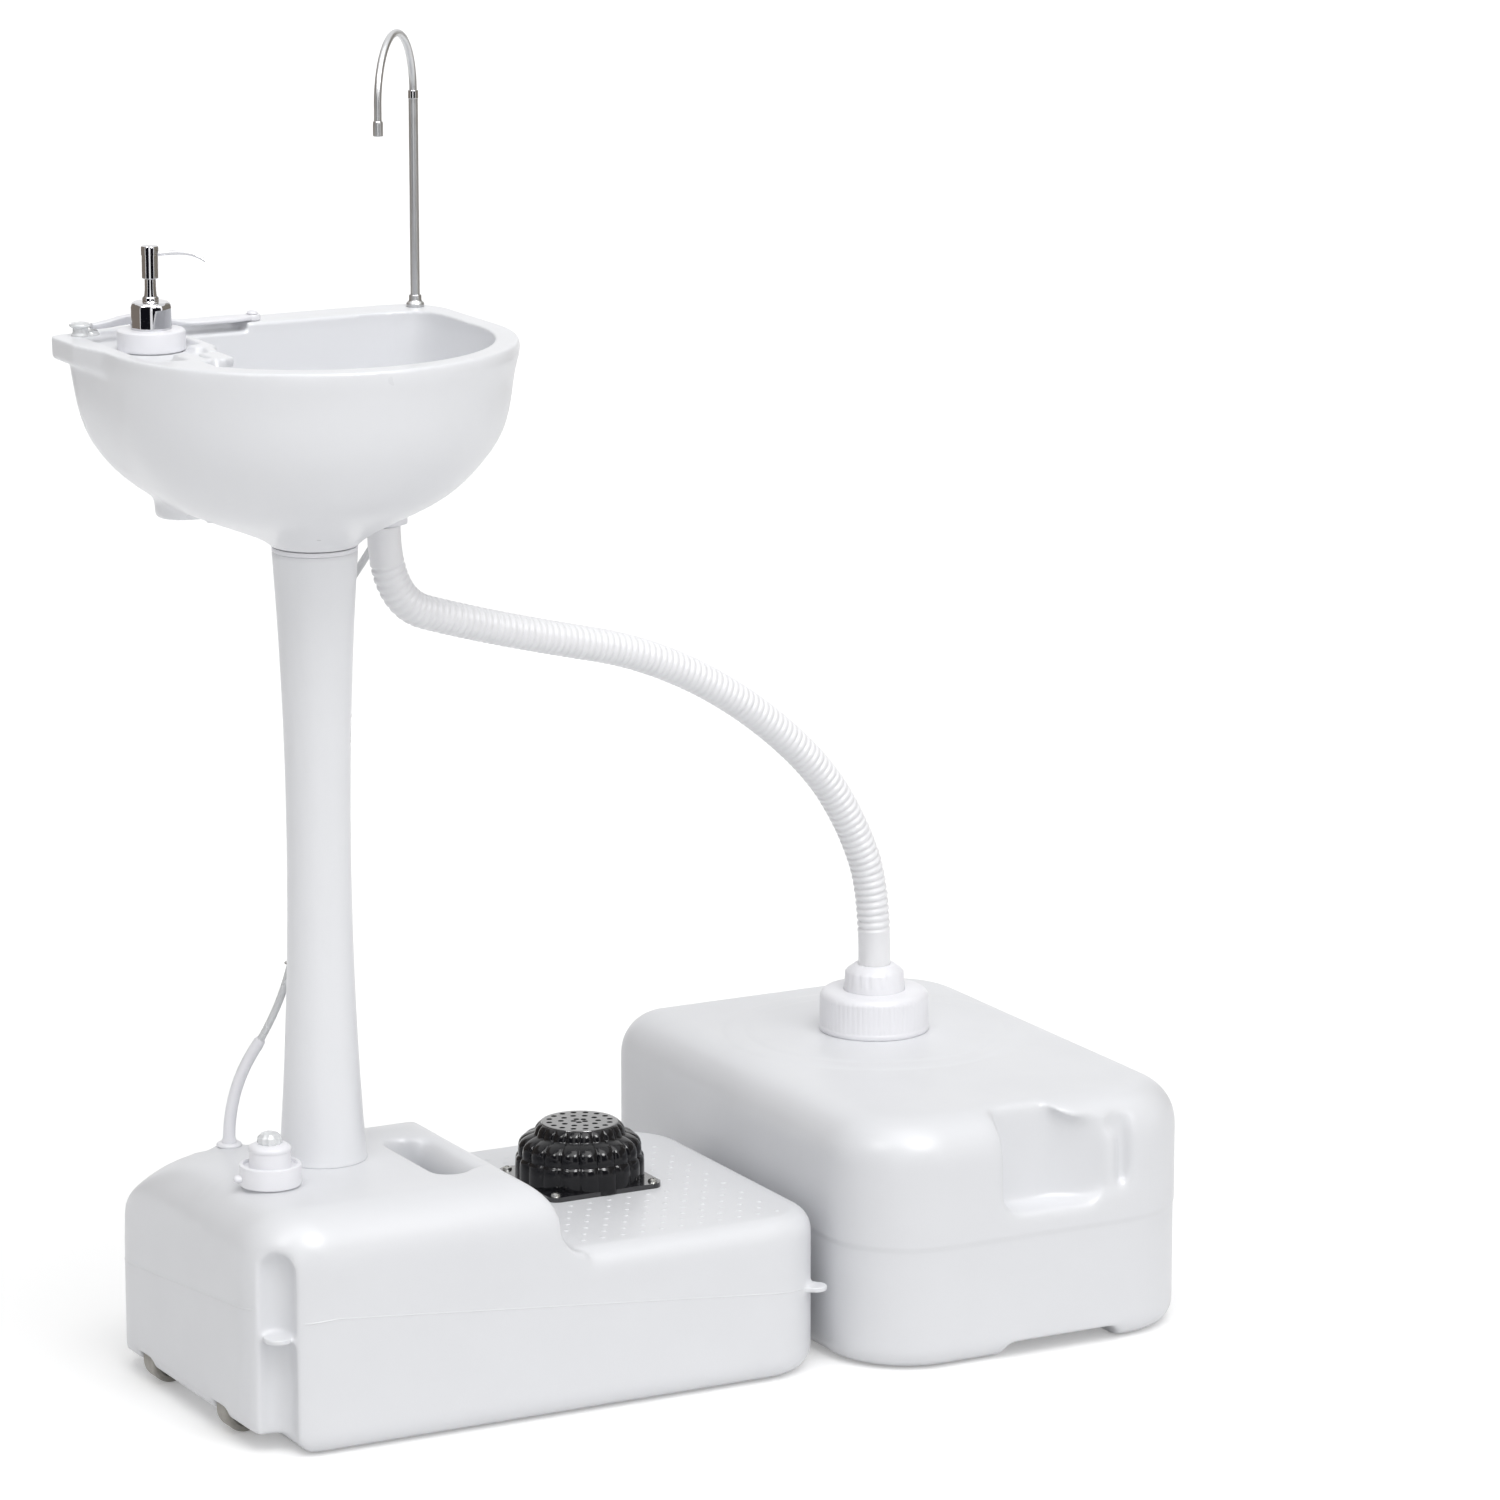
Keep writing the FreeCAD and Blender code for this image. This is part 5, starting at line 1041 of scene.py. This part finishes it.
class SINK_OT_stage(bpy.types.Operator):
    """Camera, lamps, world and a plain pale floor"""
    bl_idname = "sink.stage"
    bl_label = "Stage"

    def execute(self, context):
        scene = context.scene
        scene.view_settings.view_transform = "Standard"
        lens = bpy.data.cameras.new("camera")
        lens.lens = 168.0
        lens.sensor_width = 36.0
        lens.clip_end = 100.0
        camera = placed("camera", lens)
        back = Vector(VIEW_BACK).normalized()
        right = Vector((0, 0, 1)).cross(back).normalized()
        up = back.cross(right)
        turn = Matrix((right, up, back)).transposed().to_4x4()
        camera.matrix_world = Matrix.Translation(Vector(VIEW_FROM)) @ turn
        scene.camera = camera
        self.world(scene)
        self.floor()
        self.sun("key_above", (-0.11, -0.34, 0.93), 1.46, 50.0)
        self.sun("fill_high", (0.10, -0.80, 0.60), 0.52, 50.0)
        self.sun("fill_low", (0.02, -0.99, 0.05), 0.38, 70.0)
        for name, first, last, tone in (("card_left", -150.0, -62.0, "#8A8178"),
                                        ("card_left_dark", -55.0, -12.0, "#16161C"),
                                        ("card_right_dark", 10.0, 52.0, "#14141A"),
                                        ("card_right", 60.0, 150.0, "#8C867C")):
            self.card(name, first, last, tone, heights=(0.0, 3.0), far=3.0)
        self.card("panel_right", 22.0, 46.0, "#FFFFFF", heights=(2.5, 4.4), far=2.9, strength=22.0)
        self.card("panel_left", -44.0, -28.0, "#FFFFFF", heights=(2.5, 4.0), far=2.9, strength=14.0)
        return {"FINISHED"}

    def world(self, scene):
        """Even light on the object; white where it is seen directly, in metal or through glass."""
        world = bpy.data.worlds.new("studio")
        scene.world = world
        tree = empty_tree(world)
        level = add(tree, "ShaderNodeMapRange", {"Value": self.seen(tree), "To Min": 0.47, "To Max": 1.0})
        sky = add(tree, "ShaderNodeBackground", {"Color": (1.0, 1.0, 1.0, 1.0),
                                                 "Strength": level.outputs["Result"]})
        add(tree, "ShaderNodeOutputWorld", {"Surface": sky.outputs["Background"]})

    def seen(self, tree):
        """One for camera, glossy and transmission rays."""
        path = add(tree, "ShaderNodeLightPath").outputs
        seen = path["Is Camera Ray"]
        for kind in ("Is Glossy Ray", "Is Transmission Ray"):
            seen = add(tree, "ShaderNodeMath", {0: seen, 1: path[kind]}, operation="MAXIMUM").outputs[0]
        return seen

    def floor(self):
        """Pale studio sheet that keeps the object's shadow."""
        material = bpy.data.materials.new("studio_sheet_white")
        tree = empty_tree(material)
        matt = add(tree, "ShaderNodeBsdfDiffuse", {"Color": linear("#E8E8E8")})
        lift = add(tree, "ShaderNodeMath", {0: self.seen(tree), 1: 0.27}, operation="MULTIPLY")
        glow = add(tree, "ShaderNodeEmission", {"Strength": lift.outputs[0]})
        both = add(tree, "ShaderNodeAddShader", {0: matt.outputs[0], 1: glow.outputs[0]})
        add(tree, "ShaderNodeOutputMaterial", {"Surface": both.outputs[0]})
        mesh = bpy.data.meshes.new("studio_floor")
        side, level = 20.0, -0.0003
        corners = ((-side, -side), (side, -side), (side, side), (-side, side))
        mesh.from_pydata([(x, y, level) for x, y in corners], [], [(0, 1, 2, 3)])
        mesh.materials.append(material)
        obj = placed("studio_floor", mesh)

    def sun(self, name, towards, strength, spread):
        """Wide soft light from a direction."""
        data = bpy.data.lights.new(name, "SUN")
        data.energy = strength
        data.angle = math.radians(spread)
        placed(name, data).rotation_euler = Vector(towards).to_track_quat("Z", "Y").to_euler()

    def card(self, name, first, last, tone, heights, far, strength=1.0):
        """Curved card of one tone seen only in reflections, between two angles from the camera's side."""
        towards_camera = math.degrees(math.atan2(VIEW_BACK[1], VIEW_BACK[0]))
        parts = 12
        verts = []
        for i in range(parts + 1):
            a = math.radians(towards_camera + first + (last - first) * i / parts)
            verts += [(far * math.cos(a), far * math.sin(a), z) for z in heights]
        faces = [(2 * i, 2 * i + 1, 2 * i + 3, 2 * i + 2) for i in range(parts)]
        mesh = bpy.data.meshes.new(name)
        mesh.from_pydata(verts, [], faces)
        material = bpy.data.materials.new("studio_card")
        tree = empty_tree(material)
        even = add(tree, "ShaderNodeEmission", {"Color": linear(tone), "Strength": strength})
        add(tree, "ShaderNodeOutputMaterial", {"Surface": even.outputs[0]})
        mesh.materials.append(material)
        obj = placed(name, mesh)
        obj.visible_camera = False
        obj.visible_diffuse = False
        obj.visible_transmission = False
        obj.visible_shadow = False


class SINK_PT_panel(bpy.types.Panel):
    """Lists the sink's pieces in the sidebar"""
    bl_idname = "SINK_PT_panel"
    bl_label = "Camping sink"
    bl_space_type = "VIEW_3D"
    bl_region_type = "UI"
    bl_category = "Camping sink"

    def draw(self, context):
        for kind in PIECES + (SINK_OT_stage,):
            self.layout.operator(kind.bl_idname)
        for group in (context.scene.sink_colours, context.scene.sink_sizes):
            for key in group.bl_rna.properties.keys():
                if key not in ("rna_type", "name"):
                    self.layout.prop(group, key)


PIECES = (SINK_OT_drain_hose, SINK_OT_supply_hose, SINK_OT_fresh_tank, SINK_OT_waste_tank, SINK_OT_pedestal,
          SINK_OT_basin, SINK_OT_soap_pump, SINK_OT_towel_arm, SINK_OT_faucet, SINK_OT_foot_pump,
          SINK_OT_filler_cap, SINK_OT_waste_cap, SINK_OT_plain_parts)
CLASSES = (SinkColours, SinkSizes) + PIECES + (SINK_OT_stage, SINK_PT_panel)


def register():
    for kind in CLASSES:
        bpy.utils.register_class(kind)
    bpy.types.Scene.sink_colours = bpy.props.PointerProperty(type=SinkColours)
    bpy.types.Scene.sink_sizes = bpy.props.PointerProperty(type=SinkSizes)


def unregister():
    del bpy.types.Scene.sink_colours
    del bpy.types.Scene.sink_sizes
    for kind in reversed(CLASSES):
        bpy.utils.unregister_class(kind)


def main():
    register()
    make_finishes(bpy.context.scene.sink_colours)
    bpy.ops.sink.stage()
    for kind in PIECES:
        group, name = kind.bl_idname.split(".")
        getattr(getattr(bpy.ops, group), name)()


if __name__ == "__main__":
    main()
